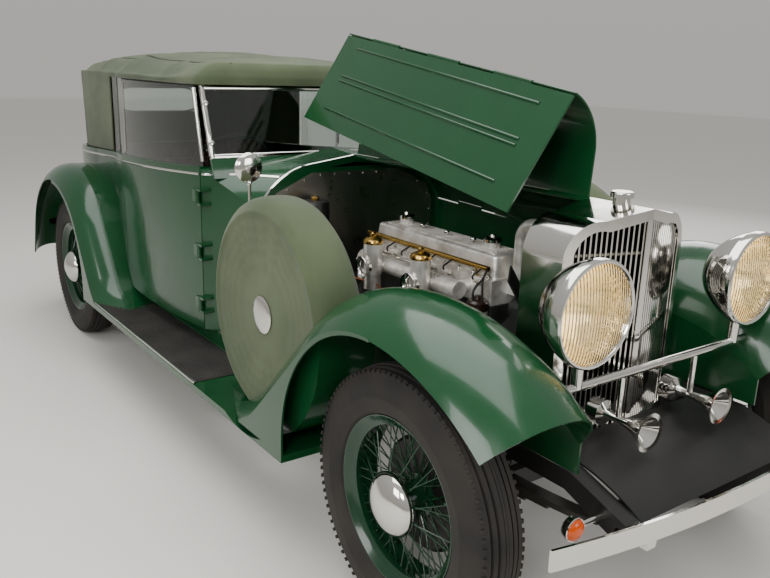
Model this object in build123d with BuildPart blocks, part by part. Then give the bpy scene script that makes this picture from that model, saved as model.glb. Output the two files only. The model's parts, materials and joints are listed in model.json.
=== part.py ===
from build123d import *

import os
from math import asin, cos, radians, sin, tan

# A vintage motor car with a fabric hood, two doors, side-mounted spare wheels and a V-fronted
# radiator, standing with the right side of its bonnet open. Millimetres: +X forward, +Y to the
# car's left, +Z up, the origin on the ground midway between the car's two ends.

# Overall layout
WHEELBASE = 3200
FRONT_OVERHANG = 620
REAR_OVERHANG = 930
TRACK = 1420
LENGTH = FRONT_OVERHANG + WHEELBASE + REAR_OVERHANG
FRONT_AXLE = LENGTH / 2 - FRONT_OVERHANG
REAR_AXLE = FRONT_AXLE - WHEELBASE
HALF_TRACK = TRACK / 2
TAIL = REAR_AXLE - REAR_OVERHANG

SEAT_Y = 300
SEAT_W = 470

# Clearances
RUNNING = 0.05
GAP = 0.3
SHUT = 6

# Wheels and brakes
TYRE_R = 400
TYRE_W = 165
RIM_R = 246
RIM_W = 130
HUB_R = 48
HUB_OUT = 118
HUB_IN = 40
STUB_R = 22
DRUM_R = 175
DRUM_W = 50
SPOKE_T = 5
SPOKE_COUNT = 20

# Chassis
RAIL_Y = 400
RAIL_W = 55
RAIL_TOP = 560
RAIL_H = 110
CROSS_R = 30
IRON_REACH = 530
IRON_Z = 452
TOW_R = 10
KICK = 120
RAIL_END = 290
BEAM_H = 62
BEAM_W = 50
BEAM_Z = 350
KINGPIN_Y = 590
KINGPIN_R = 13
EYE_R = 27
EYE_H = 74
FORK_T = 16
ARM_BACK = 190
ARM_Z = 330
ROD_R = 11
BALL_R = 16
LEAF_T = 9
LEAF_W = 48
LEAF_COUNT = 4
FRONT_SPRING = 440
REAR_SPRING = 600
FRONT_SAG = 33
REAR_SAG = 68
AXLE_TUBE_R = 42
DIFF_R = 140
JACK_Y = 280

# Engine
ENGINE_W = 240
ENGINE_FRONT = 330
ENGINE_BACK = 1130
SUMP_Z = 360
CRANK_Z = 520
BLOCK_LOW = 600
BLOCK_TOP = 800
HEAD_H = 90
COVER_H = 80
BELL_R = 165
BELL_L = 140
GEARBOX_W = 220
GEARBOX_H = 190
GEARBOX_L = 420
BEARER_W = 60
BEARER_H = 44
BEARERS = (430, 880)
FAN_Z = 780
FAN_HUB_R = 40
FAN_HUB_L = 90
FAN_R = 190
FAN_CHORD = 80
FAN_PITCH = 35
FAN_BLADES = 4
PORT_R = 24
PORT_STEP = 260
INLET_R = 32
INLET_HALF = 300
INLET_OUT = 70
CARB_R = 38
CARB_STEP = 150
CARB_OUT = 130
MANIFOLD_R = 36
MANIFOLD_HALF = 340
MANIFOLD_OUT = 60
PIPE_R = 22
PIPE_Z = 300
DYNAMO_R = 55
DYNAMO_L = 210
DYNAMO_Y = 187
DYNAMO_Z = 640
PULLEY_R = 48
WATER_R = 24
WATER_Z = 1090
FILLER_R = 28

# Radiator
RAD_HALF = 283
RAD_BACK = 45
RAD_SIDE = 160
RAD_NOSE = 85
RAD_TOP = 1222
RAD_LOW = 500
RAD_BORDER = 32
SLAT_T = 7
SLAT_DEEP = 24
SLAT_COUNT = 14
CORE_DEEP = 90
CAP_R = 36
CAP_H = 18
CAP_NECK_R = 27

# Bonnet and scuttle sections: half width, top, shoulder height
NOSE_SECTION = (RAD_HALF, 1214, 1010)
DASH_SECTION = (480, 1214, 1000)
SCREEN_SECTION = (640, 1232, 1155)
BONNET_LENGTH = 1330
BONNET_LOW = 600
BONNET_T = 6
SCUTTLE_LENGTH = 235
SCUTTLE_T = 26
HINGE_R = 5
HINGE_TUBE = 9
HINGE_STEPS = 8
EDGE_ROD = 3
EDGE_TUBE = 6
EDGE_STEPS = 7
OPEN_TOP = 108.5
OPEN_SIDE = 80.5
BEAD_HEIGHTS = (672, 800, 822, 948)
BEAD_END = 110
BEAD_H = 9
BEAD_PROUD = 3
LEDGE_T = 10

# Body
SILL_Z = 440
BELT_FRONT = 1165
BELT_REAR = 1062
BODY_T = 45
DOOR_LENGTH = 940
QUARTER_LENGTH = 325
FLOOR_T = 22
HALF_SCREEN = SCREEN_SECTION[0]
HALF_DOOR = 684
HALF_POST = 664
HALF_QUARTER = 612
HALF_REAR = 594
HALF_TAIL = 430
HOOD_BACK = REAR_AXLE - 545
TAIL_BODY = 95
LID_HALF = 330
LEAF_REACH = 44
HINGE_PIN = 6
HINGE_BARREL = 11
PIN_HALF = 26
HINGE_HEIGHTS = (560, 800, 1040)
STEER_Y = 340
STEER_Z = 1075
STEER_R = 215
COLUMN_R = 20

# Hood and glass
ROOF_TOP = 1652
ROOF_FRONT = 1600
CANT_Z = 1497
CANT_HALF = 640
HOOD_T = 14
HOOD_INSET = 14
WINDOW_HALF = 330
WINDOW_LOW = 1262
WINDOW_HIGH = 1418
GLASS_T = 6
SCREEN_RAKE = 18
SCREEN_SET = 45
SCREEN_HALF = 612
SCREEN_BASE = 1190
SCREEN_TOP = 1505
FRAME_T = 20

# Wings and running boards
WING_MID = 690
WING_OUT = 868
WING_IN = RAIL_Y + RAIL_W / 2 + GAP
WING_T = 7
WING_TOP = 1005
ARCH_R = 480
ARCH_Z = 420
REAR_MID = 735
REAR_CROWN = 600
REAR_ARCH_R = 500
WELL_DEEP = 240
BOARD_Z = 335
BOARD_T = 26
BOARD_TOP = BOARD_Z + BOARD_T
BOARD_IN = 600
BOARD_OUT = 851
REAR_FLARE = 300
REAR_LEAN = 35
REAR_TAIL = 158
FRONT_NOSE_R = 852
FRONT_BACK_R = 560
FRONT_SWEEP_R = 600
FRONT_REACH = 500
FRONT_LEAN = 45
FRONT_DOME = (WING_OUT - WING_MID, 100, WING_MID - WING_IN, 220)
REAR_DOME = (WING_OUT - REAR_MID, 90, REAR_MID - 430, 60)
VALANCE_T = 6

# Lamps
LAMP_R = 147
LAMP_Y = 377
LAMP_Z = 990
LAMP_X = 330
LAMP_DEEP = 165
BOWL_T = 5
BOWL_SIDE = 28
BOWL_MID = 95
BOWL_BACK_R = 24
BAR_LAP = 60
BAR_R = 13
BAR_Z = 770
BAR_X = 285
HORN_Y = 175
HORN_Z = 628
HORN_R = 58

# Bumpers
BUMPER_HALF = 720
BUMPER_Z = 470
BUMPER_H = 58
BUMPER_T = 8
BUMPER_BEND = 74

# Spare wheels
SPARE_X = 777
SPARE_Z = 755
SPARE_R = 412
SPARE_W = 180
SPARE_OUT = 790

NOSE_X = FRONT_AXLE - RAD_BACK
DASH_X = NOSE_X - BONNET_LENGTH
DOOR_X = DASH_X - SCUTTLE_LENGTH
DOOR_END = DOOR_X - DOOR_LENGTH
WINDOW_END = DOOR_END - QUARTER_LENGTH
HEADER_X = DOOR_X + SCREEN_SET - (SCREEN_TOP - SCREEN_BASE) * tan(radians(SCREEN_RAKE))
CROWN_X = FRONT_AXLE - 30
ARCH_X = FRONT_AXLE - 10
FRONT_SEAT_X = FRONT_AXLE - 2090
REAR_SEAT_X = REAR_AXLE + 200

os.makedirs("parts", exist_ok=True)


def save(name, shape):
    """Labels a finished piece and writes it under its node's name."""
    shape.label = name
    export_step(shape, f"parts/{name}.step")


def save_pair(name, right):
    """Writes a right-hand piece and its mirror image for the left side."""
    save(f"{name}_right", right)
    save(f"{name}_left", mirror(right, about=Plane.XZ))


def save_both(name, right):
    """Writes a right-hand piece together with its mirror image as one node."""
    with BuildPart() as both:
        add(right)
        mirror(about=Plane.XZ)
    save(name, both.part)


# Wheels: a rim, two cones of wire spokes, a hub with its spinner, and the brake drum
with BuildPart() as wheel:
    flange = RIM_W / 2
    with BuildSketch(Plane.XY):
        with BuildLine():
            Polyline(
                (RIM_R - 22, flange - 22),
                (RIM_R - 6, flange - 14),
                (RIM_R + 12, flange),
                (RIM_R + 12, flange - 6),
                (RIM_R, flange - 22),
                (RIM_R - 15, flange - 30),
                (RIM_R - 15, 30 - flange),
                (RIM_R, 22 - flange),
                (RIM_R + 12, 6 - flange),
                (RIM_R + 12, -flange),
                (RIM_R - 6, 14 - flange),
                (RIM_R - 22, 22 - flange),
                close=True,
            )
        make_face()
    revolve(axis=Axis.Y)
    with BuildSketch(Plane.XY):
        with BuildLine():
            Polyline(
                (STUB_R + RUNNING, HUB_IN),
                (HUB_R, HUB_IN),
                (HUB_R, 30 - HUB_OUT),
                (HUB_R - 8, 24 - HUB_OUT),
                (HUB_R - 8, 8 - HUB_OUT),
                (HUB_R - 16, -HUB_OUT),
                (0, -HUB_OUT),
                (0, 14 - HUB_OUT),
                (STUB_R + RUNNING, 14 - HUB_OUT),
                close=True,
            )
        make_face()
    revolve(axis=Axis.Y)
    with BuildSketch(Plane.XY):
        with BuildLine():
            Polyline(
                (HUB_R - 4, HUB_IN),
                (HUB_R - 4, HUB_IN - 8),
                (DRUM_R - 10, HUB_IN - 8),
                (DRUM_R, HUB_IN),
                (DRUM_R, HUB_IN - 8 + DRUM_W),
                (DRUM_R - 8, HUB_IN - 8 + DRUM_W),
                (DRUM_R - 8, HUB_IN),
                close=True,
            )
        make_face()
    revolve(axis=Axis.Y)
    for rim_y, hub_y, turn in ((-14, 46 - HUB_OUT, 1), (14, HUB_IN - 14, -1)):
        for n in range(SPOKE_COUNT):
            foot = radians(360 / SPOKE_COUNT * (n + 0.25 * turn))
            head = foot + turn * radians(16)
            start = Vector((HUB_R - 4) * cos(foot), hub_y, (HUB_R - 4) * sin(foot))
            end = Vector((RIM_R - 19) * cos(head), rim_y, (RIM_R - 19) * sin(head))
            with BuildSketch(Plane(start, z_dir=end - start)):
                Rectangle(SPOKE_T, SPOKE_T)
            extrude(amount=(end - start).length)

with BuildPart() as tyre:
    flank = TYRE_W / 2
    bead = RIM_R + 12 + GAP
    with BuildSketch(Plane.XY):
        with BuildLine():
            Polyline(
                (bead, flank - 22),
                (RIM_R + 40, flank - 4),
                (RIM_R + 85, flank),
                (TYRE_R - 22, flank - 16),
                (TYRE_R - 4, flank - 38),
                (TYRE_R, 0),
                (TYRE_R - 4, 38 - flank),
                (TYRE_R - 22, 16 - flank),
                (RIM_R + 85, -flank),
                (RIM_R + 40, 4 - flank),
                (bead, 22 - flank),
                close=True,
            )
        make_face()
    revolve(axis=Axis.Y)

for corner, axle_x in (("front", FRONT_AXLE), ("rear", REAR_AXLE)):
    place = Pos(axle_x, -HALF_TRACK, TYRE_R)
    save_pair(f"wheel_{corner}", place * wheel.part)
    save_pair(f"tyre_{corner}", place * tyre.part)

# Chassis: two side rails with dumb irons and a kick-up over the rear axle, and cross tubes
with BuildPart() as chassis:
    with BuildSketch(Plane.XZ.offset(RAIL_Y - RAIL_W / 2)):
        with BuildLine():
            Polyline(
                (FRONT_AXLE + IRON_REACH, IRON_Z + 34),
                (FRONT_AXLE + 330, RAIL_TOP - 8),
                (FRONT_AXLE - 200, RAIL_TOP),
                (REAR_AXLE + 560, RAIL_TOP),
                (REAR_AXLE + 220, RAIL_TOP + KICK),
                (REAR_AXLE - 220, RAIL_TOP + KICK),
                (TAIL + RAIL_END, RAIL_TOP + 10),
                (TAIL + RAIL_END, RAIL_TOP - 80),
                (REAR_AXLE - 240, RAIL_TOP + KICK - 75),
                (REAR_AXLE + 190, RAIL_TOP + KICK - 75),
                (REAR_AXLE + 520, RAIL_TOP - RAIL_H),
                (FRONT_AXLE - FRONT_SPRING, RAIL_TOP - RAIL_H),
                (FRONT_AXLE - 150, RAIL_TOP - 66),
                (FRONT_AXLE + 320, RAIL_TOP - 66),
                (FRONT_AXLE + IRON_REACH - 40, IRON_Z - 20),
                (FRONT_AXLE + IRON_REACH, IRON_Z - 20),
                close=True,
            )
        make_face()
    extrude(amount=RAIL_W)
    mirror(about=Plane.XZ)
    for tube_x, tube_z in (
        (FRONT_AXLE + IRON_REACH - 70, IRON_Z + 20),
        (FRONT_AXLE + 60, RAD_LOW - CROSS_R),
        (FRONT_AXLE - 1760, RAIL_TOP - 60),
        (REAR_AXLE + 650, RAIL_TOP - 60),
        (REAR_AXLE - 300, RAIL_TOP + KICK - 70),
        (TAIL + RAIL_END - CROSS_R + 60, RAIL_TOP - 30),
    ):
        with BuildSketch(Plane.XZ.offset(-RAIL_Y)):
            with Locations((tube_x, tube_z)):
                Circle(CROSS_R)
        extrude(amount=2 * RAIL_Y)
    with BuildSketch(Plane.XZ.offset(-RAIL_Y - RAIL_W)):
        with Locations((FRONT_AXLE + IRON_REACH - 22, IRON_Z + 7)):
            Circle(TOW_R)
    extrude(amount=2 * (RAIL_Y + RAIL_W), mode=Mode.SUBTRACT)
save("chassis_frame", chassis.part)

# Front axle: a dropped beam with an upright eye at each end for the kingpin
with BuildPart() as front_axle:
    with BuildSketch(Plane.YZ.offset(FRONT_AXLE - BEAM_W / 2)):
        with BuildLine():
            Polyline(
                (-KINGPIN_Y, TYRE_R - 30),
                (60 - KINGPIN_Y, TYRE_R - 30),
                (-RAIL_Y - 60, BEAM_Z - BEAM_H / 2),
                (RAIL_Y + 60, BEAM_Z - BEAM_H / 2),
                (KINGPIN_Y - 60, TYRE_R - 30),
                (KINGPIN_Y, TYRE_R - 30),
                (KINGPIN_Y, TYRE_R + 30),
                (KINGPIN_Y - 60, TYRE_R + 30),
                (RAIL_Y + 60, BEAM_Z + BEAM_H / 2),
                (-RAIL_Y - 60, BEAM_Z + BEAM_H / 2),
                (60 - KINGPIN_Y, TYRE_R + 30),
                (-KINGPIN_Y, TYRE_R + 30),
                close=True,
            )
        make_face()
    extrude(amount=BEAM_W)
    with BuildSketch(Plane.XY.offset(TYRE_R - EYE_H / 2)):
        with Locations((FRONT_AXLE, -KINGPIN_Y), (FRONT_AXLE, KINGPIN_Y)):
            Circle(EYE_R)
    extrude(amount=EYE_H)
    with BuildSketch(Plane.XY.offset(TYRE_R - EYE_H / 2)):
        with Locations((FRONT_AXLE, -KINGPIN_Y), (FRONT_AXLE, KINGPIN_Y)):
            Circle(KINGPIN_R + RUNNING)
    extrude(amount=EYE_H, mode=Mode.SUBTRACT)
save("front_axle", front_axle.part)

# Steering knuckles: a fork on the kingpin, the stub axle, and an arm back to the track rod
with BuildPart() as knuckle:
    fork_low = TYRE_R - EYE_H / 2 - GAP - FORK_T
    fork_high = TYRE_R + EYE_H / 2 + GAP + FORK_T
    for face_z in (fork_low, fork_high - FORK_T):
        with BuildSketch(Plane.XY.offset(face_z)):
            with Locations((FRONT_AXLE, -KINGPIN_Y)):
                Circle(EYE_R)
            with Locations((FRONT_AXLE, -KINGPIN_Y - 32)):
                Rectangle(2 * EYE_R, 64)
        extrude(amount=FORK_T)
    with BuildSketch(Plane.XY.offset(fork_low)):
        with Locations((FRONT_AXLE, -KINGPIN_Y - EYE_R - 22)):
            Rectangle(2 * EYE_R, 30)
    extrude(amount=fork_high - fork_low)
    with BuildSketch(Plane.XY.offset(fork_low)):
        with Locations((FRONT_AXLE, -KINGPIN_Y)):
            Circle(KINGPIN_R)
    extrude(amount=fork_high - fork_low)
    with BuildSketch(Plane.XZ.offset(KINGPIN_Y + EYE_R + 30)):
        with Locations((FRONT_AXLE, TYRE_R)):
            Circle(STUB_R)
    extrude(amount=HALF_TRACK + HUB_OUT - 16 - KINGPIN_Y - EYE_R - 30)
    with BuildSketch(Plane.XY.offset(ARM_Z - BALL_R / 2)):
        with BuildLine():
            Polyline(
                (FRONT_AXLE - 20, -KINGPIN_Y - 12),
                (FRONT_AXLE - 20, -KINGPIN_Y + 12),
                (FRONT_AXLE - ARM_BACK, 12 - KINGPIN_Y),
                (FRONT_AXLE - ARM_BACK, -12 - KINGPIN_Y),
                close=True,
            )
        make_face()
    extrude(amount=BALL_R)
    with BuildSketch(Plane.XY.offset(ARM_Z - BALL_R / 2)):
        with Locations((FRONT_AXLE, -KINGPIN_Y)):
            Circle(EYE_R)
        with Locations((FRONT_AXLE - ARM_BACK, -KINGPIN_Y)):
            Circle(BALL_R)
    extrude(amount=BALL_R)
    with BuildSketch(Plane.XY.offset(ARM_Z)):
        with Locations((FRONT_AXLE, -KINGPIN_Y)):
            Circle(EYE_R)
    extrude(amount=fork_low - ARM_Z)
    with BuildSketch(Plane.XY.offset(ARM_Z)):
        with Locations((FRONT_AXLE - ARM_BACK, -KINGPIN_Y)):
            Circle(ROD_R)
    extrude(amount=-44)
save_pair("knuckle", knuckle.part)

# Track rod: joins the two steering arms behind the axle, with an eye on each arm's ball pin
with BuildPart() as track_rod:
    rod_x = FRONT_AXLE - ARM_BACK
    rod_y = KINGPIN_Y
    rod_top = ARM_Z - BALL_R / 2 - GAP
    with BuildSketch(Plane.XZ.offset(20 - rod_y)):
        with Locations((rod_x, rod_top - 15)):
            Circle(ROD_R)
    extrude(amount=2 * rod_y - 40)
    with BuildSketch(Plane.XY.offset(rod_top)):
        with Locations((rod_x, -rod_y), (rod_x, rod_y)):
            Circle(BALL_R + 8)
    extrude(amount=-30)
    with BuildSketch(Plane.XY.offset(rod_top)):
        with Locations((rod_x, rod_y)):
            Circle(ROD_R + RUNNING)
        with Locations((rod_x, -rod_y)):
            Circle(ROD_R + GAP)
    extrude(amount=-30, mode=Mode.SUBTRACT)
save("track_rod", track_rod.part)

# Leaf springs, clamped to the axles
with BuildPart() as front_springs:
    seat_z = BEAM_Z + BEAM_H / 2
    for n in range(LEAF_COUNT):
        reach = FRONT_SPRING * (1 - 0.2 * (LEAF_COUNT - 1 - n))
        sag = FRONT_SAG * (reach / FRONT_SPRING) ** 2
        low = seat_z + n * LEAF_T
        with BuildSketch(Plane.XZ.offset(RAIL_Y - LEAF_W / 2)):
            with BuildLine():
                ThreePointArc(
                    (FRONT_AXLE - reach, low + sag), (FRONT_AXLE, low), (FRONT_AXLE + reach, low + sag)
                )
                Line((FRONT_AXLE + reach, low + sag), (FRONT_AXLE + reach, low + sag + LEAF_T))
                ThreePointArc(
                    (FRONT_AXLE + reach, low + sag + LEAF_T),
                    (FRONT_AXLE, low + LEAF_T),
                    (FRONT_AXLE - reach, low + sag + LEAF_T),
                )
                Line((FRONT_AXLE - reach, low + sag + LEAF_T), (FRONT_AXLE - reach, low + sag))
            make_face()
        extrude(amount=LEAF_W)
    mirror(about=Plane.XZ)

with BuildPart() as rear_springs:
    seat_z = TYRE_R - AXLE_TUBE_R
    for n in range(LEAF_COUNT):
        reach = REAR_SPRING * (1 - 0.2 * n)
        sag = REAR_SAG * (reach / REAR_SPRING) ** 2
        low = seat_z - (n + 1) * LEAF_T
        with BuildSketch(Plane.XZ.offset(RAIL_Y - LEAF_W / 2)):
            with BuildLine():
                ThreePointArc(
                    (REAR_AXLE - reach, low + sag), (REAR_AXLE, low), (REAR_AXLE + reach, low + sag)
                )
                Line((REAR_AXLE + reach, low + sag), (REAR_AXLE + reach, low + sag + LEAF_T))
                ThreePointArc(
                    (REAR_AXLE + reach, low + sag + LEAF_T),
                    (REAR_AXLE, low + LEAF_T),
                    (REAR_AXLE - reach, low + sag + LEAF_T),
                )
                Line((REAR_AXLE - reach, low + sag + LEAF_T), (REAR_AXLE - reach, low + sag))
            make_face()
        extrude(amount=LEAF_W)
    for reach, rail_z in ((REAR_SPRING - 12, RAIL_TOP - RAIL_H), (12 - REAR_SPRING, RAIL_TOP - 40)):
        hanger_low = seat_z + REAR_SAG - LEAF_T - 8
        with BuildSketch(Plane.XZ.offset(RAIL_Y - LEAF_W / 2)):
            with Locations((REAR_AXLE + reach, (hanger_low + rail_z) / 2)):
                Rectangle(24, rail_z - hanger_low)
        extrude(amount=LEAF_W)
    mirror(about=Plane.XZ)
with BuildPart() as springs:
    add(front_springs.part)
    add(rear_springs.part)
    add(chassis.part, mode=Mode.SUBTRACT)
save("leaf_springs", springs.part)

# Rear axle: tube and final drive, stub ends for the hubs, and the propeller shaft ahead of it
with BuildPart() as rear_axle:
    stub_end = HALF_TRACK + HUB_OUT - 16
    with BuildSketch(Plane.XZ.offset(-stub_end)):
        with Locations((REAR_AXLE, TYRE_R)):
            Circle(STUB_R)
    extrude(amount=2 * stub_end)
    tube_end = HALF_TRACK - HUB_IN - 12
    with BuildSketch(Plane.XZ.offset(-tube_end)):
        with Locations((REAR_AXLE, TYRE_R)):
            Circle(AXLE_TUBE_R)
    extrude(amount=2 * tube_end)
    with BuildSketch(Plane.XZ):
        with Locations((REAR_AXLE, TYRE_R)):
            Circle(DIFF_R)
    extrude(amount=60, both=True)
    fillet(rear_axle.edges().filter_by(GeomType.CIRCLE).filter_by(lambda e: e.radius == DIFF_R), 45)
    with BuildSketch(Plane.YZ.offset(REAR_AXLE + DIFF_R - 30)):
        with Locations((0, TYRE_R)):
            Circle(38)
    extrude(amount=FRONT_AXLE - ENGINE_BACK - BELL_L - GEARBOX_L - REAR_AXLE - DIFF_R + 30)
    with Locations((REAR_AXLE, -JACK_Y, TYRE_R - AXLE_TUBE_R), (REAR_AXLE, JACK_Y, TYRE_R - AXLE_TUBE_R)):
        Box(70, 70, 24)
save("rear_axle", rear_axle.part)

# Engine: crankcase, bell housing and gearbox on cross bearers, with the fan and the dynamo
engine_mid = FRONT_AXLE - (ENGINE_FRONT + ENGINE_BACK) / 2
engine_len = ENGINE_BACK - ENGINE_FRONT
engine_front = FRONT_AXLE - ENGINE_FRONT
engine_back = FRONT_AXLE - ENGINE_BACK
with BuildPart() as engine_block:
    with BuildSketch(Plane.YZ.offset(engine_back)):
        with BuildLine():
            Polyline(
                (40 - ENGINE_W / 2, SUMP_Z),
                (ENGINE_W / 2 - 40, SUMP_Z),
                (ENGINE_W / 2 + 40, CRANK_Z),
                (ENGINE_W / 2, BLOCK_LOW),
                (ENGINE_W / 2, BLOCK_TOP),
                (-ENGINE_W / 2, BLOCK_TOP),
                (-ENGINE_W / 2, BLOCK_LOW),
                (-ENGINE_W / 2 - 40, CRANK_Z),
                close=True,
            )
        make_face()
    extrude(amount=engine_len)
    with BuildSketch(Plane.YZ.offset(engine_back)):
        with Locations((0, CRANK_Z - 20)):
            Circle(BELL_R)
    extrude(amount=-BELL_L)
    with BuildSketch(Plane.YZ.offset(engine_back - BELL_L)):
        with Locations((0, CRANK_Z - 65)):
            RectangleRounded(GEARBOX_W, GEARBOX_H, 40)
    extrude(amount=-GEARBOX_L)
    bearer_half = RAIL_Y - RAIL_W / 2 - GAP
    with BuildSketch(Plane.XZ.offset(-bearer_half)):
        for back in BEARERS:
            with Locations((FRONT_AXLE - back, CRANK_Z)):
                Rectangle(BEARER_W, BEARER_H)
    extrude(amount=2 * bearer_half)
    with BuildSketch(Plane.YZ.offset(engine_front)):
        with Locations((0, FAN_Z)):
            Circle(FAN_HUB_R)
    extrude(amount=FAN_HUB_L)
    for n in range(FAN_BLADES):
        spin = radians(360 / FAN_BLADES * n + 35)
        hub = Vector(engine_front + FAN_HUB_L - 25, 0, FAN_Z)
        out = Vector(0, cos(spin), sin(spin))
        root = FAN_HUB_R - 10
        with BuildSketch(Plane(hub + out * root, x_dir=(1, 0, 0), z_dir=out)):
            Rectangle(6, FAN_CHORD, rotation=FAN_PITCH)
        extrude(amount=FAN_R - root)
    dynamo_front = engine_front - 30
    with BuildSketch(Plane.YZ.offset(dynamo_front)):
        with Locations((-DYNAMO_Y, DYNAMO_Z)):
            Circle(DYNAMO_R)
    extrude(amount=-DYNAMO_L)
    with BuildSketch(Plane.YZ.offset(dynamo_front)):
        with Locations((-DYNAMO_Y, DYNAMO_Z)):
            Circle(PULLEY_R)
    extrude(amount=18)
    with Locations((dynamo_front - DYNAMO_L / 2, -(DYNAMO_Y + ENGINE_W / 2) / 2, DYNAMO_Z)):
        Box(DYNAMO_L / 2, DYNAMO_Y - ENGINE_W / 2 + 10, DYNAMO_R)
save("engine_block", engine_block.part)

# Cylinder head with its cover and oil fillers, and the water pipe forward to the radiator
with BuildPart() as engine_head:
    with BuildSketch(Plane.XY.offset(BLOCK_TOP)):
        with Locations((engine_mid, 0)):
            Rectangle(engine_len - 20, ENGINE_W - 10)
    extrude(amount=HEAD_H)
    with BuildSketch(Plane.XY.offset(BLOCK_TOP + HEAD_H)):
        with Locations((engine_mid, 0)):
            RectangleRounded(engine_len - 60, ENGINE_W - 70, 30)
    extrude(amount=COVER_H, taper=8)
    fillet(engine_head.faces().sort_by(Axis.Z)[-1].edges(), 14)
    with BuildSketch(Plane.XY.offset(BLOCK_TOP + HEAD_H + COVER_H / 2)):
        with Locations((engine_mid - PORT_STEP, 0), (engine_mid + PORT_STEP, 0)):
            Circle(FILLER_R)
    extrude(amount=COVER_H / 2 + 24)
    water_x = engine_front + 4
    with Locations((water_x - 10, 0, BLOCK_TOP + HEAD_H - 28)):
        Box(60, 70, 56)
    with BuildLine() as water_line:
        FilletPolyline(
            (water_x, 0, BLOCK_TOP + HEAD_H - 10),
            (water_x, 0, WATER_Z),
            (NOSE_X + 20 - GAP, 0, WATER_Z),
            radius=60,
        )
    with BuildSketch(Plane(water_line.line @ 0, z_dir=water_line.line % 0)):
        Circle(WATER_R)
    sweep(path=water_line.line)
save("engine_head", engine_head.part)

# Inlet pipe along the right side with two carburettors
with BuildPart() as carburettors:
    inlet_y = (ENGINE_W - 10) / 2
    inlet_z = BLOCK_TOP + HEAD_H / 2
    with BuildSketch(Plane.YZ.offset(engine_mid - INLET_HALF)):
        with Locations((-inlet_y - INLET_OUT, inlet_z)):
            Circle(INLET_R)
    extrude(amount=2 * INLET_HALF)
    for port_x in (engine_mid - PORT_STEP, engine_mid, engine_mid + PORT_STEP):
        with BuildSketch(Plane.XZ.offset(inlet_y)):
            with Locations((port_x, inlet_z)):
                Circle(PORT_R)
        extrude(amount=INLET_OUT)
    for carb_x in (engine_mid - CARB_STEP, engine_mid + CARB_STEP):
        with BuildSketch(Plane.XZ.offset(inlet_y + INLET_OUT)):
            with Locations((carb_x, inlet_z)):
                Circle(CARB_R - 8)
        extrude(amount=90)
        with BuildSketch(Plane.XY.offset(inlet_z - 90)):
            with Locations((carb_x, -inlet_y - CARB_OUT)):
                Circle(CARB_R - 4)
        extrude(amount=70)
        with BuildSketch(Plane.XY.offset(inlet_z - 30)):
            with Locations((carb_x, -inlet_y - CARB_OUT)):
                Circle(CARB_R)
        extrude(amount=120)
save("carburettors", carburettors.part)

# Exhaust: the manifold on the left, its pipe along the chassis and over the axle, a silencer
with BuildPart() as exhaust:
    port_z = inlet_z - 20
    manifold_y = inlet_y + MANIFOLD_OUT
    with BuildSketch(Plane.YZ.offset(engine_mid - MANIFOLD_HALF)):
        with Locations((manifold_y, port_z)):
            Circle(MANIFOLD_R)
    extrude(amount=2 * MANIFOLD_HALF)
    for port_x in (engine_mid - PORT_STEP - 20, engine_mid, engine_mid + PORT_STEP + 20):
        with BuildSketch(Plane.XZ.offset(-inlet_y)):
            with Locations((port_x, port_z)):
                Circle(PORT_R)
        extrude(amount=-MANIFOLD_OUT)
    pipe_y = RAIL_Y - RAIL_W / 2 - 70
    down_x = engine_mid - 250
    with BuildLine() as pipe_line:
        FilletPolyline(
            (down_x, manifold_y, port_z),
            (down_x, pipe_y, BLOCK_LOW + 40),
            (down_x, pipe_y, PIPE_Z + 100),
            (down_x - 370, pipe_y, PIPE_Z),
            (REAR_AXLE + 420, pipe_y, PIPE_Z),
            (REAR_AXLE + 240, pipe_y, TYRE_R + KICK),
            (REAR_AXLE - 190, pipe_y, TYRE_R + KICK + 20),
            (REAR_AXLE - 290, pipe_y, PIPE_Z + 70),
            (TAIL + 60, pipe_y, PIPE_Z + 70),
            radius=60,
        )
    with BuildSketch(Plane(pipe_line.line @ 0, z_dir=pipe_line.line % 0)):
        Circle(PIPE_R)
    sweep(path=pipe_line.line)
    with BuildSketch(Plane.YZ.offset(REAR_AXLE + 560)):
        with Locations((pipe_y, PIPE_Z)):
            Ellipse(70, 55)
    extrude(amount=620)
save("exhaust", exhaust.part)

# Radiator: a bright shell with a V front, its vertical slats, and the core behind them


def nose_outline(inset):
    """Draws the radiator in plan, shrunk all round by an inset."""
    half = RAD_HALF - inset
    Polyline(
        (NOSE_X + inset, -half),
        (NOSE_X + RAD_SIDE, -half),
        (NOSE_X + RAD_SIDE + RAD_NOSE - inset, 0),
        (NOSE_X + RAD_SIDE, half),
        (NOSE_X + inset, half),
        close=True,
    )


def front_outline(inset, low):
    """Draws the radiator from the front: upright sides and a shallow peaked top."""
    half = RAD_HALF - inset
    shoulder = RAD_TOP - 150
    peak = RAD_TOP - inset
    for side in (-1, 1):
        Line((0, low), (side * half, low))
        Line((side * half, low), (side * half, shoulder))
        TangentArc((side * half, shoulder), (side * half * 0.55, peak - 32), tangent=(0, 1))
        Line((side * half * 0.55, peak - 32), (0, peak))


with BuildPart() as shell_body:
    with BuildSketch(Plane.YZ.offset(NOSE_X)):
        with BuildLine():
            front_outline(0, RAD_LOW)
        make_face()
    extrude(amount=RAD_SIDE + RAD_NOSE)
    with BuildSketch(Plane.XY.offset(RAD_LOW)):
        with BuildLine():
            nose_outline(0)
        make_face()
    extrude(amount=RAD_TOP - RAD_LOW, mode=Mode.INTERSECT)

with BuildPart() as shell_hollow:
    with BuildSketch(Plane.YZ.offset(NOSE_X - 1)):
        with BuildLine():
            front_outline(RAD_BORDER, RAD_LOW + RAD_BORDER)
        make_face()
    extrude(amount=RAD_SIDE + RAD_NOSE + 2)

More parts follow.
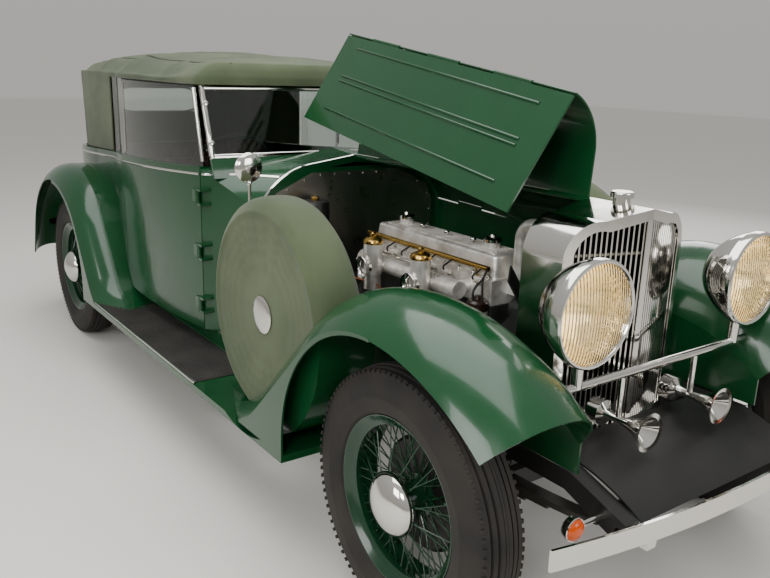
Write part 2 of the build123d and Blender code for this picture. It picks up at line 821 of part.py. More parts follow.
with BuildPart() as radiator_shell:
    add(shell_body.part)
    add(shell_hollow.part, mode=Mode.SUBTRACT)
    with BuildSketch(Plane.XY.offset(RAD_TOP - CAP_H)):
        with Locations((NOSE_X + RAD_SIDE - CAP_R, 0)):
            Circle(CAP_NECK_R)
    extrude(amount=2 * CAP_H)
    with BuildSketch(Plane.XY.offset(RAD_TOP + CAP_H)):
        with Locations((NOSE_X + RAD_SIDE - CAP_R, 0)):
            Circle(CAP_R)
    extrude(amount=CAP_H)
    fillet(radiator_shell.faces().sort_by(Axis.Z)[-1].edges(), CAP_H / 3)
save("radiator_shell", radiator_shell.part)

with BuildPart() as grille:
    slat_step = (RAD_HALF - RAD_BORDER - GAP) / SLAT_COUNT
    for n in range(-SLAT_COUNT, SLAT_COUNT + 1):
        slat_y = n * slat_step * 0.97
        front_x = NOSE_X + RAD_SIDE + RAD_NOSE * (1 - abs(slat_y) / RAD_HALF) - 8
        width = 3 * SLAT_T if n == 0 else SLAT_T
        with BuildSketch(Plane.XY.offset(RAD_LOW + RAD_BORDER + GAP)):
            with Locations((front_x - SLAT_DEEP / 2, slat_y)):
                Rectangle(SLAT_DEEP, width)
        extrude(amount=RAD_TOP - RAD_LOW - 2 * RAD_BORDER)
    for bar_z in (RAD_LOW + RAD_BORDER + 60, (RAD_LOW + RAD_TOP) / 2, RAD_TOP - RAD_BORDER - 110):
        for side in (-1, 1):
            with BuildSketch(Plane.XY.offset(bar_z)):
                with BuildLine():
                    Polyline(
                        (NOSE_X + RAD_SIDE - 26, side * (RAD_HALF - RAD_BORDER - GAP)),
                        (NOSE_X + RAD_SIDE - 14, side * (RAD_HALF - RAD_BORDER - GAP)),
                        (NOSE_X + RAD_SIDE + RAD_NOSE - 24, 0),
                        (NOSE_X + RAD_SIDE + RAD_NOSE - 36, 0),
                        close=True,
                    )
                make_face()
            extrude(amount=8)
    with BuildSketch(Plane.YZ.offset(NOSE_X)):
        with BuildLine():
            front_outline(RAD_BORDER + GAP, RAD_LOW + RAD_BORDER + GAP)
        make_face()
    extrude(amount=RAD_SIDE + RAD_NOSE, mode=Mode.INTERSECT)
save("grille_slats", grille.part)

with BuildPart() as core:
    with BuildSketch(Plane.YZ.offset(NOSE_X + 20)):
        with BuildLine():
            front_outline(RAD_BORDER + GAP, RAD_LOW + RAD_BORDER + GAP)
        make_face()
    extrude(amount=CORE_DEEP)
save("radiator_core", core.part)

# Bonnet: two curved top panels on a centre hinge, and a side panel hinged along each shoulder


def section_plane(x):
    """A plane across the car at x, with its own x axis to the car's left."""
    return Plane(origin=(x, 0, 0), x_dir=(0, 1, 0), z_dir=(1, 0, 0))


def band(section, thick, inner_y, shoulder_gap):
    """Draws the closed outline of a curved panel's section."""
    half, top, shoulder = section
    knee_out = (half * 0.5, top - 34)
    knee_in = (half * 0.5, top - 34 - thick)
    outer = Line((inner_y, top), knee_out)
    rim = TangentArc(knee_out, (half, shoulder + shoulder_gap), tangent=outer % 1)
    inner = Line((inner_y, top - thick), knee_in)
    lip = TangentArc(knee_in, (half - thick, shoulder + shoulder_gap), tangent=inner % 1)
    Line(rim @ 1, lip @ 1)
    Line((inner_y, top), (inner_y, top - thick))


front_x = NOSE_X - SHUT
back_x = DASH_X + SHUT


def blend(x, column):
    """A bonnet section's value at x, between the radiator and the scuttle."""
    share = (NOSE_X - x) / BONNET_LENGTH
    return NOSE_SECTION[column] + (DASH_SECTION[column] - NOSE_SECTION[column]) * share


def bonnet_section(x):
    return blend(x, 0), blend(x, 1), blend(x, 2)


hinge_z = blend(front_x, 1) - BONNET_T / 2
with BuildPart() as top_panel:
    for x in (back_x, front_x):
        with BuildSketch(section_plane(x)):
            with BuildLine():
                band(bonnet_section(x), BONNET_T, HINGE_TUBE + 3, EDGE_TUBE + 2)
            make_face()
    loft(ruled=True)

with BuildPart() as side_panel:
    for x in (back_x, front_x):
        half, top, shoulder = bonnet_section(x)
        with BuildSketch(section_plane(x)):
            with Locations((half - BONNET_T / 2, (shoulder - EDGE_TUBE - 2 + BONNET_LOW) / 2)):
                Rectangle(BONNET_T, shoulder - EDGE_TUBE - 2 - BONNET_LOW)
    loft(ruled=True)
    for bead_z in BEAD_HEIGHTS:
        for x in (back_x + BEAD_END, front_x - BEAD_END):
            with BuildSketch(section_plane(x)):
                with Locations((blend(x, 0) - 1 + BEAD_PROUD / 2, bead_z)):
                    Rectangle(BEAD_PROUD + 2, BEAD_H)
        loft(ruled=True)


edge_back = Vector(back_x, blend(back_x, 0) - BONNET_T / 2, blend(back_x, 2))
edge_front = Vector(front_x, blend(front_x, 0) - BONNET_T / 2, blend(front_x, 2))
edge_run = edge_front - edge_back
edge_dir = edge_run.normalized()
hinge_axis = Axis((0, 0, hinge_z), (1, 0, 0))


def hinge_plane(step, steps, clear):
    """The start of one hinge length along the shoulder line, its x axis pointing up."""
    start = edge_back + edge_run * (step / steps) + edge_dir * clear
    return Plane(start, x_dir=(0, 0, 1), z_dir=edge_dir)


def centre_tube(first):
    """Every second length of the centre hinge's tube, with its tab to the top panel."""
    step = (front_x - back_x) / HINGE_STEPS
    with BuildPart() as tube:
        for n in range(first, HINGE_STEPS, 2):
            with BuildSketch(section_plane(back_x + n * step + 1)):
                with Locations((0, hinge_z)):
                    Circle(HINGE_TUBE)
                with Locations((HINGE_TUBE, hinge_z)):
                    Rectangle(2 * HINGE_TUBE - 2, BONNET_T)
                with Locations((0, hinge_z)):
                    Circle(HINGE_R + RUNNING, mode=Mode.SUBTRACT)
            extrude(amount=step - 2)
    return tube.part


def top_with_hinge(first):
    """A left top panel with its half of the centre hinge and the rod of the shoulder hinge."""
    tube = centre_tube(first)
    with BuildPart() as panel:
        add(top_panel.part)
        add(tube)
        with BuildSketch(hinge_plane(0, 1, 0)):
            Circle(EDGE_ROD)
        extrude(amount=edge_run.length)
        for n in range(0, EDGE_STEPS, 2):
            with BuildSketch(hinge_plane(n, EDGE_STEPS, 1)):
                with Locations((EDGE_TUBE, 0)):
                    Rectangle(2 * EDGE_TUBE, BONNET_T - 1)
            extrude(amount=edge_run.length / EDGE_STEPS - 2)
    return panel.part


with BuildPart() as side_with_hinge:
    add(side_panel.part)
    for n in range(1, EDGE_STEPS, 2):
        with BuildSketch(hinge_plane(n, EDGE_STEPS, 1)):
            Circle(EDGE_TUBE)
            with Locations((-EDGE_TUBE, 0)):
                Rectangle(2 * EDGE_TUBE, BONNET_T - 1)
            Circle(EDGE_ROD + RUNNING, mode=Mode.SUBTRACT)
        extrude(amount=edge_run.length / EDGE_STEPS - 2)

edge_axis = Axis((edge_back.X, -edge_back.Y, edge_back.Z), (edge_dir.X, -edge_dir.Y, edge_dir.Z))
save("bonnet_top_left", top_with_hinge(0))
save("bonnet_side_left", side_with_hinge.part)
top_right = mirror(top_with_hinge(1), about=Plane.XZ)
side_right = mirror(side_with_hinge.part, about=Plane.XZ).rotate(edge_axis, OPEN_SIDE)
save("bonnet_top_right", top_right.rotate(hinge_axis, -OPEN_TOP))
save("bonnet_side_right", side_right.rotate(hinge_axis, -OPEN_TOP))

with BuildPart() as bonnet_rod:
    with BuildSketch(section_plane(DASH_X)):
        with Locations((0, hinge_z)):
            Circle(HINGE_R)
    extrude(amount=BONNET_LENGTH)
save("bonnet_hinge_rod", bonnet_rod.part)

# Ledges along the chassis that the bonnet sides close down on
with BuildPart() as ledges:
    with BuildSketch(Plane.XY.offset(RAIL_TOP)):
        with BuildLine():
            Polyline(
                (DASH_X, DASH_SECTION[0] - 30),
                (NOSE_X, NOSE_SECTION[0] - 30),
                (NOSE_X, WING_IN - GAP),
                (FRONT_AXLE - 640, WING_IN - GAP),
                (DASH_X, DASH_SECTION[0]),
                close=True,
            )
        make_face()
    extrude(amount=LEDGE_T)
    for x, half in ((DASH_X, DASH_SECTION[0]), (NOSE_X, NOSE_SECTION[0])):
        with BuildSketch(section_plane(x)):
            with Locations((half - LEDGE_T / 2, (RAIL_TOP + BONNET_LOW - SHUT) / 2)):
                Rectangle(LEDGE_T, BONNET_LOW - SHUT - RAIL_TOP)
    loft(ruled=True)
    mirror(about=Plane.XZ)
save("bonnet_ledges", ledges.part)

# Body plan: the outline that the doors, the rear body, the floor and the hood share


def belt(x):
    """Height of the belt line at x, falling gently from the scuttle to the tail."""
    return BELT_FRONT + (BELT_REAR - BELT_FRONT) * (DOOR_X - x) / (DOOR_X - HOOD_BACK)


def plan_outline(inset):
    """Draws the body in plan, shrunk by an inset at the sides and the tail."""
    front = DOOR_X + 10
    tail_x = TAIL + TAIL_BODY + inset
    for side in (-1, 1):
        Line((front, 0), (front, side * (HALF_SCREEN - inset)))
        Line((front, side * (HALF_SCREEN - inset)), (DOOR_X, side * (HALF_SCREEN - inset)))
        ThreePointArc(
            (DOOR_X, side * (HALF_SCREEN - inset)),
            ((DOOR_X + DOOR_END) / 2, side * (HALF_DOOR - inset)),
            (DOOR_END, side * (HALF_POST - inset)),
        )
        ThreePointArc(
            (DOOR_END, side * (HALF_POST - inset)),
            (DOOR_END - 130, side * ((HALF_POST + HALF_QUARTER) / 2 + 4 - inset)),
            (DOOR_END - 260, side * (HALF_QUARTER - inset)),
        )
        Line((DOOR_END - 260, side * (HALF_QUARTER - inset)), (REAR_AXLE, side * (HALF_REAR - inset)))
        ThreePointArc(
            (REAR_AXLE, side * (HALF_REAR - inset)),
            ((REAR_AXLE + tail_x) / 2, side * (HALF_REAR - 36 - inset)),
            (tail_x, side * (HALF_TAIL - inset)),
        )
        Line((tail_x, side * (HALF_TAIL - inset)), (tail_x, 0))


def profile_under_belt(top_gap):
    """Draws the body's side view below the belt, from the screen to the tail."""
    tail_x = TAIL + TAIL_BODY
    Line((DOOR_X, SILL_Z), (DOOR_X, belt(DOOR_X) - top_gap))
    Line((DOOR_X, belt(DOOR_X) - top_gap), (HOOD_BACK, BELT_REAR - top_gap))
    ThreePointArc(
        (HOOD_BACK, BELT_REAR - top_gap),
        (HOOD_BACK - 190, BELT_REAR - top_gap - 150),
        (tail_x + top_gap, 640),
    )
    Line((tail_x + top_gap, 640), (tail_x + 30 + top_gap, 520))
    Line((tail_x + 30 + top_gap, 520), (REAR_AXLE - 420, SILL_Z))
    Line((REAR_AXLE - 420, SILL_Z), (DOOR_X, SILL_Z))


# The whole body below the belt as one solid, and the space inside its walls
with BuildPart() as body_form:
    with BuildSketch(Plane.XY.offset(SILL_Z)):
        with BuildLine():
            plan_outline(0)
        make_face()
    extrude(amount=BELT_FRONT - SILL_Z)
    with BuildSketch(Plane.XZ.offset(-HALF_DOOR - 1)):
        with BuildLine():
            profile_under_belt(0)
        make_face()
    extrude(amount=2 * HALF_DOOR + 2, mode=Mode.INTERSECT)

with BuildPart() as cabin_space:
    with BuildSketch(Plane.XY.offset(SILL_Z - 1)):
        with BuildLine():
            plan_outline(BODY_T)
        make_face()
    extrude(amount=BELT_FRONT - SILL_Z + 2)
    with BuildSketch(Plane.XZ.offset(-HALF_DOOR - 1)):
        with BuildLine():
            profile_under_belt(BODY_T)
        make_face()
        with Locations(((DOOR_X + 20 + HOOD_BACK + 60) / 2, (SILL_Z - 1 + BELT_FRONT + 1) / 2)):
            Rectangle(DOOR_X - HOOD_BACK - 40, BELT_FRONT - SILL_Z + 2)
        with Locations(((DOOR_X + TAIL + TAIL_BODY + BODY_T) / 2, SILL_Z + 99)):
            Rectangle(DOOR_X - TAIL - TAIL_BODY - BODY_T, 200)
    extrude(amount=2 * HALF_DOOR + 2, mode=Mode.INTERSECT)

with BuildPart() as body_shell:
    add(body_form.part)
    add(cabin_space.part, mode=Mode.SUBTRACT)

# The arch line of the rear wings: a flare off the running board, a round crown, a straight tail


def rear_arch(grow):
    """Draws the rear wing's outline in side view, grown outwards, closed along the ground line."""
    crown = REAR_CROWN + grow
    flare = REAR_FLARE - grow
    lean = radians(REAR_LEAN)
    top = Vector(REAR_AXLE + crown * cos(lean), TYRE_R + crown * sin(lean))
    along = Vector(sin(lean), -cos(lean))
    drop = top.Y - BOARD_TOP - grow - flare * (1 - sin(lean))
    foot = top + along * (drop / cos(lean))
    end = Vector(foot.X + flare * cos(lean), BOARD_TOP + grow)
    tail = radians(REAR_TAIL)
    back = Vector(REAR_AXLE + crown * cos(tail), TYRE_R + crown * sin(tail))
    fall = Vector(-sin(tail), cos(tail)) * 230
    return top, foot, end, back, back + fall


def rear_wing_line(grow):
    """Draws the rear wing's line from the running board to the tail."""
    top, foot, end, back, fall = rear_arch(grow)
    TangentArc(end, foot, tangent=(-1, 0))
    Line(foot, top)
    ThreePointArc(top, (REAR_AXLE, TYRE_R + REAR_CROWN + grow), back)
    Line(back, fall)


column_foot = Vector(FRONT_AXLE - 1000, -STEER_Y, 640)
column_head = Vector(FRONT_AXLE - 1940, -STEER_Y, STEER_Z)
column_dir = (column_foot - column_head).normalized()
COLUMN_LENGTH = (column_foot - column_head).length
column_plane = Plane(column_head, x_dir=(0, 1, 0), z_dir=column_dir)
door_pin_y = HALF_SCREEN + HINGE_BARREL + 5

# Scuttle: the panel from the bonnet to the windscreen, with the firewall and the door pillars
with BuildPart() as scuttle:
    for x, section in ((DASH_X, DASH_SECTION), (DOOR_X, SCREEN_SECTION)):
        with BuildSketch(section_plane(x)):
            with BuildLine():
                band(section, SCUTTLE_T, 0, 0)
            make_face()
    loft(ruled=True)
    for x, section in ((DASH_X, DASH_SECTION), (DOOR_X, SCREEN_SECTION)):
        with BuildSketch(section_plane(x)):
            with Locations((section[0] - SCUTTLE_T / 2, (section[2] + SILL_Z) / 2)):
                Rectangle(SCUTTLE_T, section[2] - SILL_Z)
    loft(ruled=True)
    mirror(about=Plane.XZ)
    with BuildSketch(section_plane(DASH_X - 14)):
        with BuildLine():
            half, top, shoulder = DASH_SECTION
            Polyline(
                (0, RAIL_TOP + FLOOR_T),
                (half - SCUTTLE_T / 2, RAIL_TOP + FLOOR_T),
                (half - SCUTTLE_T / 2, shoulder),
                (half - 50, shoulder + 90),
                (half * 0.5, top - 46),
                (-half * 0.5, top - 46),
                (50 - half, shoulder + 90),
                (SCUTTLE_T / 2 - half, shoulder),
                (SCUTTLE_T / 2 - half, RAIL_TOP + FLOOR_T),
                close=True,
            )
        make_face()
    extrude(amount=14)
    with BuildSketch(column_plane):
        Circle(COLUMN_R + GAP)
    extrude(amount=COLUMN_LENGTH, mode=Mode.SUBTRACT)
    for side in (-1, 1):
        for pin_z in HINGE_HEIGHTS:
            for ear_z in (pin_z - PIN_HALF - 10, pin_z + PIN_HALF):
                with BuildSketch(Plane.XY.offset(ear_z)):
                    with Locations((DOOR_X - 3, side * door_pin_y)):
                        Circle(HINGE_BARREL)
                    with Locations((DOOR_X + 20, side * (door_pin_y - 16))):
                        Rectangle(46, 2 * HINGE_BARREL + 26)
                extrude(amount=10)
            with BuildSketch(Plane.XY.offset(pin_z - PIN_HALF)):
                with Locations((DOOR_X - 3, side * door_pin_y)):
                    Circle(HINGE_PIN)
            extrude(amount=2 * PIN_HALF)
save("scuttle", scuttle.part)

# Floor: one level ahead of the rear axle and a raised one over it, inside the body's walls
with BuildPart() as floor:
    step_x = REAR_AXLE + 560
    with BuildSketch(Plane.XY.offset(RAIL_TOP)):
        with BuildLine():
            plan_outline(BODY_T)
        make_face()
        with Locations(((DOOR_X - 10 + DASH_X) / 2, 0)):
            Rectangle(DASH_X - DOOR_X + 10, 2 * (DASH_SECTION[0] - SCUTTLE_T))
        with Locations(((step_x + TAIL) / 2, 0)):
            Rectangle(step_x - TAIL, 2 * HALF_DOOR, mode=Mode.SUBTRACT)
        for side in (-1, 1):
            with Locations(((DOOR_X + 10 + DOOR_END) / 2, side * (HALF_SCREEN + 20))):
                Rectangle(DOOR_LENGTH + 10, 2 * (BODY_T + 28), mode=Mode.SUBTRACT)
    extrude(amount=FLOOR_T)
    with BuildSketch(Plane.XY.offset(RAIL_TOP + KICK)):
        with BuildLine():
            plan_outline(BODY_T)
        make_face()
        with Locations(((step_x + DOOR_X + 40) / 2, 0)):
            Rectangle(DOOR_X + 40 - step_x, 2 * HALF_DOOR, mode=Mode.SUBTRACT)
    extrude(amount=FLOOR_T)
    with BuildSketch(section_plane(step_x)):
        with Locations((0, RAIL_TOP + KICK / 2 + FLOOR_T)):
            Rectangle(2 * (HALF_QUARTER - BODY_T - 6), KICK)
    extrude(amount=40)
save("floor", floor.part)

# Rear body: the walls behind the doors, the tail deck with its opening for the boot lid
deck = ThreePointArc(
    (HOOD_BACK, BELT_REAR), (HOOD_BACK - 190, BELT_REAR - 150), (TAIL + TAIL_BODY, 640)
)
lid_top = deck @ 0.3
lid_low = deck @ 0.95
lid_run = deck % 0.3
lid_out = Vector(lid_run.Y, -lid_run.X)
lid_pin = lid_top + lid_run * (SHUT / 2) + lid_out * (HINGE_BARREL + 2)


def lid_leaf(way):
    """Draws a hinge leaf in side view: an eye on the pin and a strap up or down the deck."""
    with Locations((lid_pin.X, lid_pin.Y)):
        Circle(HINGE_BARREL)
    near = lid_pin - lid_out * 2
    far = near + lid_run * (way * LEAF_REACH)
    Polygon(
        (near.X, near.Y),
        (far.X, far.Y),
        (far.X - lid_out.X * 16, far.Y - lid_out.Y * 16),
        (near.X - lid_out.X * (9 + way * 3), near.Y - lid_out.Y * (9 + way * 3)),
        align=None,
    )


with BuildPart() as door_zone:
    with BuildSketch(Plane.XZ.offset(-HALF_DOOR - 50)):
        with Locations(((DOOR_X + DOOR_END) / 2, BELT_FRONT / 2)):
            Rectangle(DOOR_LENGTH, 2 * BELT_FRONT)
        with BuildLine():
            rear_wing_line(0)
            top, foot, end, back, fall = rear_arch(0)
            Polyline(fall, (fall.X, 0), (end.X, 0), end)
        make_face(mode=Mode.SUBTRACT)
    extrude(amount=2 * HALF_DOOR + 100)

with BuildPart() as rear_body:
    add(body_shell.part)
    add(door_zone.part, mode=Mode.SUBTRACT)
    with BuildSketch(section_plane(TAIL - 10)):
        with Locations((0, (lid_top.Y + lid_low.Y) / 2)):
            RectangleRounded(2 * LID_HALF, lid_top.Y - lid_low.Y, 40)
    extrude(amount=HOOD_BACK - 10 - TAIL, mode=Mode.SUBTRACT)
    with BuildSketch(Plane.XZ.offset(-HALF_DOOR)):
        with Locations((REAR_AXLE, TYRE_R)):
            Circle(190)
    extrude(amount=2 * HALF_DOOR, mode=Mode.SUBTRACT)
    for side in (-1, 1):
        for ear_y in (side * 200 - 19, side * 200 + 11):
            with BuildSketch(Plane.XZ.offset(-ear_y)):
                lid_leaf(-1)
            extrude(amount=-8)
        with BuildSketch(Plane.XZ.offset(19 - side * 200)):
            with Locations((lid_pin.X, lid_pin.Y)):
                Circle(HINGE_PIN)
        extrude(amount=-38)
save("rear_body", rear_body.part)

with BuildPart() as boot_lid:
    with BuildSketch(section_plane(TAIL - 10)):
        with Locations((0, (lid_top.Y + lid_low.Y) / 2)):
            RectangleRounded(2 * (LID_HALF - SHUT), lid_top.Y - lid_low.Y - 2 * SHUT, 34)
    extrude(amount=HOOD_BACK - 10 - TAIL)
    add(body_shell.part, mode=Mode.INTERSECT)
    for side in (-1, 1):
        with BuildSketch(Plane.XZ.offset(10 - side * 200)):
            lid_leaf(1)
        extrude(amount=-20)
        with BuildSketch(Plane.XZ.offset(10 - side * 200)):
            with Locations((lid_pin.X, lid_pin.Y)):
                Circle(HINGE_PIN + RUNNING)
        extrude(amount=-20, mode=Mode.SUBTRACT)
save("boot_lid", boot_lid.part)

# Doors: hinged on the scuttle's pillar, their lower rear corners cut round the rear wings
with BuildPart() as door:
    add(body_shell.part)
    with Locations(((DOOR_X + DOOR_END) / 2, -HALF_DOOR, (BELT_FRONT + SILL_Z) / 2)):
        Box(DOOR_LENGTH - 2 * SHUT, HALF_DOOR, BELT_FRONT, mode=Mode.INTERSECT)
    with BuildSketch(Plane.XZ):
        with BuildLine():
            rear_wing_line(SHUT + 6)
            top, foot, end, back, fall = rear_arch(SHUT + 6)
            Polyline(fall, (fall.X, 0), (end.X, 0), end)
        make_face()
    extrude(amount=2 * HALF_DOOR, mode=Mode.SUBTRACT)
    for pin_z in HINGE_HEIGHTS:
        barrel_z = pin_z - PIN_HALF + GAP
        with BuildSketch(Plane.XY.offset(barrel_z)):
            with Locations((DOOR_X - 3, -door_pin_y)):
                Circle(HINGE_BARREL)
            with Locations((DOOR_X - 30, -door_pin_y + 5)):
                Rectangle(54, 12)
        extrude(amount=2 * PIN_HALF - 2 * GAP)
        with BuildSketch(Plane.XY.offset(barrel_z)):
            with Locations((DOOR_X - 3, -door_pin_y)):
                Circle(HINGE_PIN + RUNNING)
        extrude(amount=2 * PIN_HALF, mode=Mode.SUBTRACT)
save_pair("door", door.part)

# Windscreen: a raked chrome frame standing on the scuttle, and its pane
screen_plane = Plane(
    origin=(DOOR_X + SCREEN_SET, 0, SCREEN_BASE),
    x_dir=(0, 1, 0),
    z_dir=(cos(radians(SCREEN_RAKE)), 0, sin(radians(SCREEN_RAKE))),
)
screen_h = (SCREEN_TOP - SCREEN_BASE) / cos(radians(SCREEN_RAKE))
with BuildPart() as screen_frame:
    with BuildSketch(screen_plane):
        with Locations((0, screen_h / 2 - 40)):
            Rectangle(2 * SCREEN_HALF, screen_h + 80)
        with Locations((0, screen_h / 2 + 10)):
            Rectangle(2 * (SCREEN_HALF - FRAME_T), screen_h - 20 - FRAME_T, mode=Mode.SUBTRACT)
    extrude(amount=FRAME_T / 2, both=True)
    add(scuttle.part, mode=Mode.SUBTRACT)
    with Locations((DOOR_X, 0, SCREEN_TOP + 50)):
        Box(600, 3 * SCREEN_HALF, 100, mode=Mode.SUBTRACT)
save("windscreen_frame", screen_frame.part.solids().sort_by(SortBy.VOLUME)[-1])

with BuildPart() as screen_glass:
    with BuildSketch(screen_plane):
        with Locations((0, screen_h / 2 + 10)):
            Rectangle(2 * (SCREEN_HALF - FRAME_T), screen_h - 20 - FRAME_T)
    extrude(amount=GLASS_T / 2, both=True)
    add(scuttle.part, mode=Mode.SUBTRACT)
save("windscreen_glass", screen_glass.part.solids().sort_by(SortBy.VOLUME)[-1])

# Hood: the fabric top as a hollow shell over the cabin, open at the side windows
hood_front = HEADER_X + 40


def hood_side(inset):
    """Draws the hood's side view, shrunk by an inset at the roof and the back."""
    base_front = WINDOW_END - 40
    roof_back = HOOD_BACK - 60 + inset
    foot = HOOD_BACK + inset
    Line((foot, BELT_REAR), (base_front, belt(base_front)))
    Line((base_front, belt(base_front)), (base_front, SCREEN_TOP))
    Line((base_front, SCREEN_TOP), (hood_front - inset, SCREEN_TOP))
    Line((hood_front - inset, SCREEN_TOP), (hood_front - inset, ROOF_FRONT - inset))
    ThreePointArc(
        (hood_front - inset, ROOF_FRONT - inset),
        ((hood_front + roof_back) / 2 + 100, ROOF_TOP - inset),
        (roof_back + 130, ROOF_FRONT + 12 - inset),
    )
    ThreePointArc(
        (roof_back + 130, ROOF_FRONT + 12 - inset),
        (roof_back + 38 + inset * 0.3, ROOF_FRONT - 38 - inset * 0.6),
        (roof_back, ROOF_FRONT - 140),
    )
    Line((roof_back, ROOF_FRONT - 140), (foot, BELT_REAR))


def hood_section(inset):
    """Draws the hood's cross-section: upright sides and a crowned roof with round corners."""
    half = CANT_HALF - inset
    for side in (-1, 1):
        Line((0, BELT_REAR - 10), (side * half, BELT_REAR - 10))
        Line((side * half, BELT_REAR - 10), (side * half, CANT_Z - 10))
        ThreePointArc(
            (side * half, CANT_Z - 10),
            (side * (half - 42), CANT_Z + 62 - inset * 0.5),
            (side * (half - 140), ROOF_TOP - 48 - inset),
        )
        ThreePointArc(
            (side * (half - 140), ROOF_TOP - 48 - inset),
            (side * (half - 140) / 2, ROOF_TOP - 12 - inset),
            (0, ROOF_TOP - inset),
        )


def hood_form(inset):
    """The hood's outer surface as one solid, shrunk by an inset."""
    with BuildPart() as form:
        with BuildSketch(Plane.XZ.offset(-HALF_DOOR)):
            with BuildLine():
                hood_side(inset)
            make_face()
        extrude(amount=2 * HALF_DOOR)
        with BuildSketch(section_plane(TAIL)):
            with BuildLine():
                hood_section(inset)
            make_face()
        extrude(amount=LENGTH, mode=Mode.INTERSECT)
        with BuildSketch(Plane.XY.offset(BELT_REAR - 10)):
            with BuildLine():
                plan_outline(HOOD_INSET + inset)
            make_face()
        extrude(amount=ROOF_TOP, mode=Mode.INTERSECT)
    return form.part


def window_shape(inset):
    """The rounded opening of the rear window, seen from behind, shrunk by an inset."""
    with BuildPart() as shape:
        with BuildSketch(section_plane(TAIL)):
            with Locations((0, (WINDOW_LOW + WINDOW_HIGH) / 2)):
                RectangleRounded(2 * (WINDOW_HALF - inset), WINDOW_HIGH - WINDOW_LOW - 2 * inset, 60)
        extrude(amount=HOOD_BACK + 100 - TAIL)
    return shape.part


hood_outside = hood_form(0)
hood_inside = hood_form(HOOD_T)
with BuildPart() as hood:
    add(hood_outside)
    add(hood_inside, mode=Mode.SUBTRACT)
    with Locations((WINDOW_END + 300, 0, (BELT_REAR + SCREEN_TOP) / 2)):
        Box(600, 3 * HALF_DOOR, SCREEN_TOP - BELT_REAR, mode=Mode.SUBTRACT)
    add(window_shape(0), mode=Mode.SUBTRACT)
save("hood", hood.part)

with BuildPart() as rear_window:
    add(hood_form((HOOD_T - GLASS_T) / 2))
    add(hood_form((HOOD_T + GLASS_T) / 2), mode=Mode.SUBTRACT)
    add(window_shape(GAP), mode=Mode.INTERSECT)
save("rear_window", rear_window.part)

# Side glass: a pane in each door and a fixed quarter pane behind it


def pane(front_low, front_high, back):
    """A curved pane between the belt line and the hood, from its front edge to its back."""
    with BuildPart() as glass:
        with BuildSketch(Plane.XY.offset(BELT_REAR)):
            with BuildLine():
                plan_outline(18)
            make_face()
            with BuildLine():
                plan_outline(18 + GLASS_T)
            make_face(mode=Mode.SUBTRACT)
        extrude(amount=ROOF_TOP - BELT_REAR)
        with BuildSketch(Plane.XZ):
            with BuildLine():
                Polyline(
                    (front_low, belt(front_low)),
                    (front_high, SCREEN_TOP - (0 if front_low < DOOR_END else SHUT)),
                    (back, SCREEN_TOP - (0 if front_low < DOOR_END else SHUT)),
                    (back, belt(back)),
                    close=True,
                )
            make_face()
        extrude(amount=HALF_DOOR, mode=Mode.INTERSECT)
    return glass.part


save_pair("door_glass", pane(DOOR_X - SHUT, HEADER_X - 4, DOOR_END + SHUT))
save_both("quarter_glass", pane(DOOR_END - SHUT, DOOR_END - SHUT, WINDOW_END))

# Front wings: a domed section swept from the nose over the wheel and down to the running board
spare_x = FRONT_AXLE - SPARE_X
lean = radians(FRONT_LEAN)


def front_wing_line(drop):
    """Draws the front wing's line from nose to running board, moved inwards by a drop."""
    nose_r = FRONT_NOSE_R - drop
    back_r = FRONT_BACK_R - drop
    reach = asin((FRONT_REACH + FRONT_AXLE - CROWN_X) / FRONT_NOSE_R)
    nose = Vector(CROWN_X + nose_r * sin(reach), WING_TOP - FRONT_NOSE_R + nose_r * cos(reach))
    crown = Vector(CROWN_X, WING_TOP - drop)
    knee = Vector(CROWN_X - back_r * sin(lean), WING_TOP - FRONT_BACK_R + back_r * cos(lean))
    centre_z = BOARD_TOP + WING_T + FRONT_SWEEP_R
    outer_knee_z = WING_TOP - FRONT_BACK_R + FRONT_BACK_R * cos(lean)
    fall = outer_knee_z - centre_z + FRONT_SWEEP_R * cos(lean)
    bend = knee + Vector(-sin(lean), -cos(lean)) * (fall / cos(lean))
    sweep_r = FRONT_SWEEP_R + drop
    foot = bend + Vector(-sweep_r * sin(lean), sweep_r * cos(lean) - sweep_r)
    TangentArc(crown, nose, tangent=(1, 0))
    TangentArc(crown, knee, tangent=(-1, 0))
    Line(knee, bend)
    TangentArc(foot, bend, tangent=(1, 0))
    return nose, foot


def dome(sizes, thick):
    """Draws a wing's domed section: out to one lip, in to the other, with its thickness."""
    out, out_drop, inward, in_drop = sizes
    top_out = TangentArc((0, 0), (out, -out_drop), tangent=(1, 0))
    top_in = TangentArc((0, 0), (-inward, -in_drop), tangent=(-1, 0))
    low_out = TangentArc((0, -thick), (out - thick, -out_drop), tangent=(1, 0))
    low_in = TangentArc((0, -thick), (thick - inward, -in_drop), tangent=(-1, 0))
    Line(top_out @ 1, low_out @ 1)
    Line(top_in @ 1, low_in @ 1)


def under_dome(sizes):
    """Draws the space under a wing's dome, down to a level base."""
    out, out_drop, inward, in_drop = sizes
    top_out = TangentArc((0, 0), (out, -out_drop), tangent=(1, 0))
    top_in = TangentArc((0, 0), (-inward, -in_drop), tangent=(-1, 0))
    Polyline(top_out @ 1, (out, -WELL_DEEP), (-inward, -WELL_DEEP), top_in @ 1)


def section_at_start(spine):
    """The plane across a wing's line at its front end, its x axis pointing outwards."""
    start = 0 if (spine @ 0).X > (spine @ 1).X else 1
    aim = spine % 0 if start == 0 else -(spine % 1)
    return Plane(spine @ start, x_dir=(0, -1, 0), z_dir=aim)


with BuildLine() as front_path:
    front_nose, front_foot = front_wing_line(0)
front_spine = Plane.XZ.offset(WING_MID) * front_path.wire()

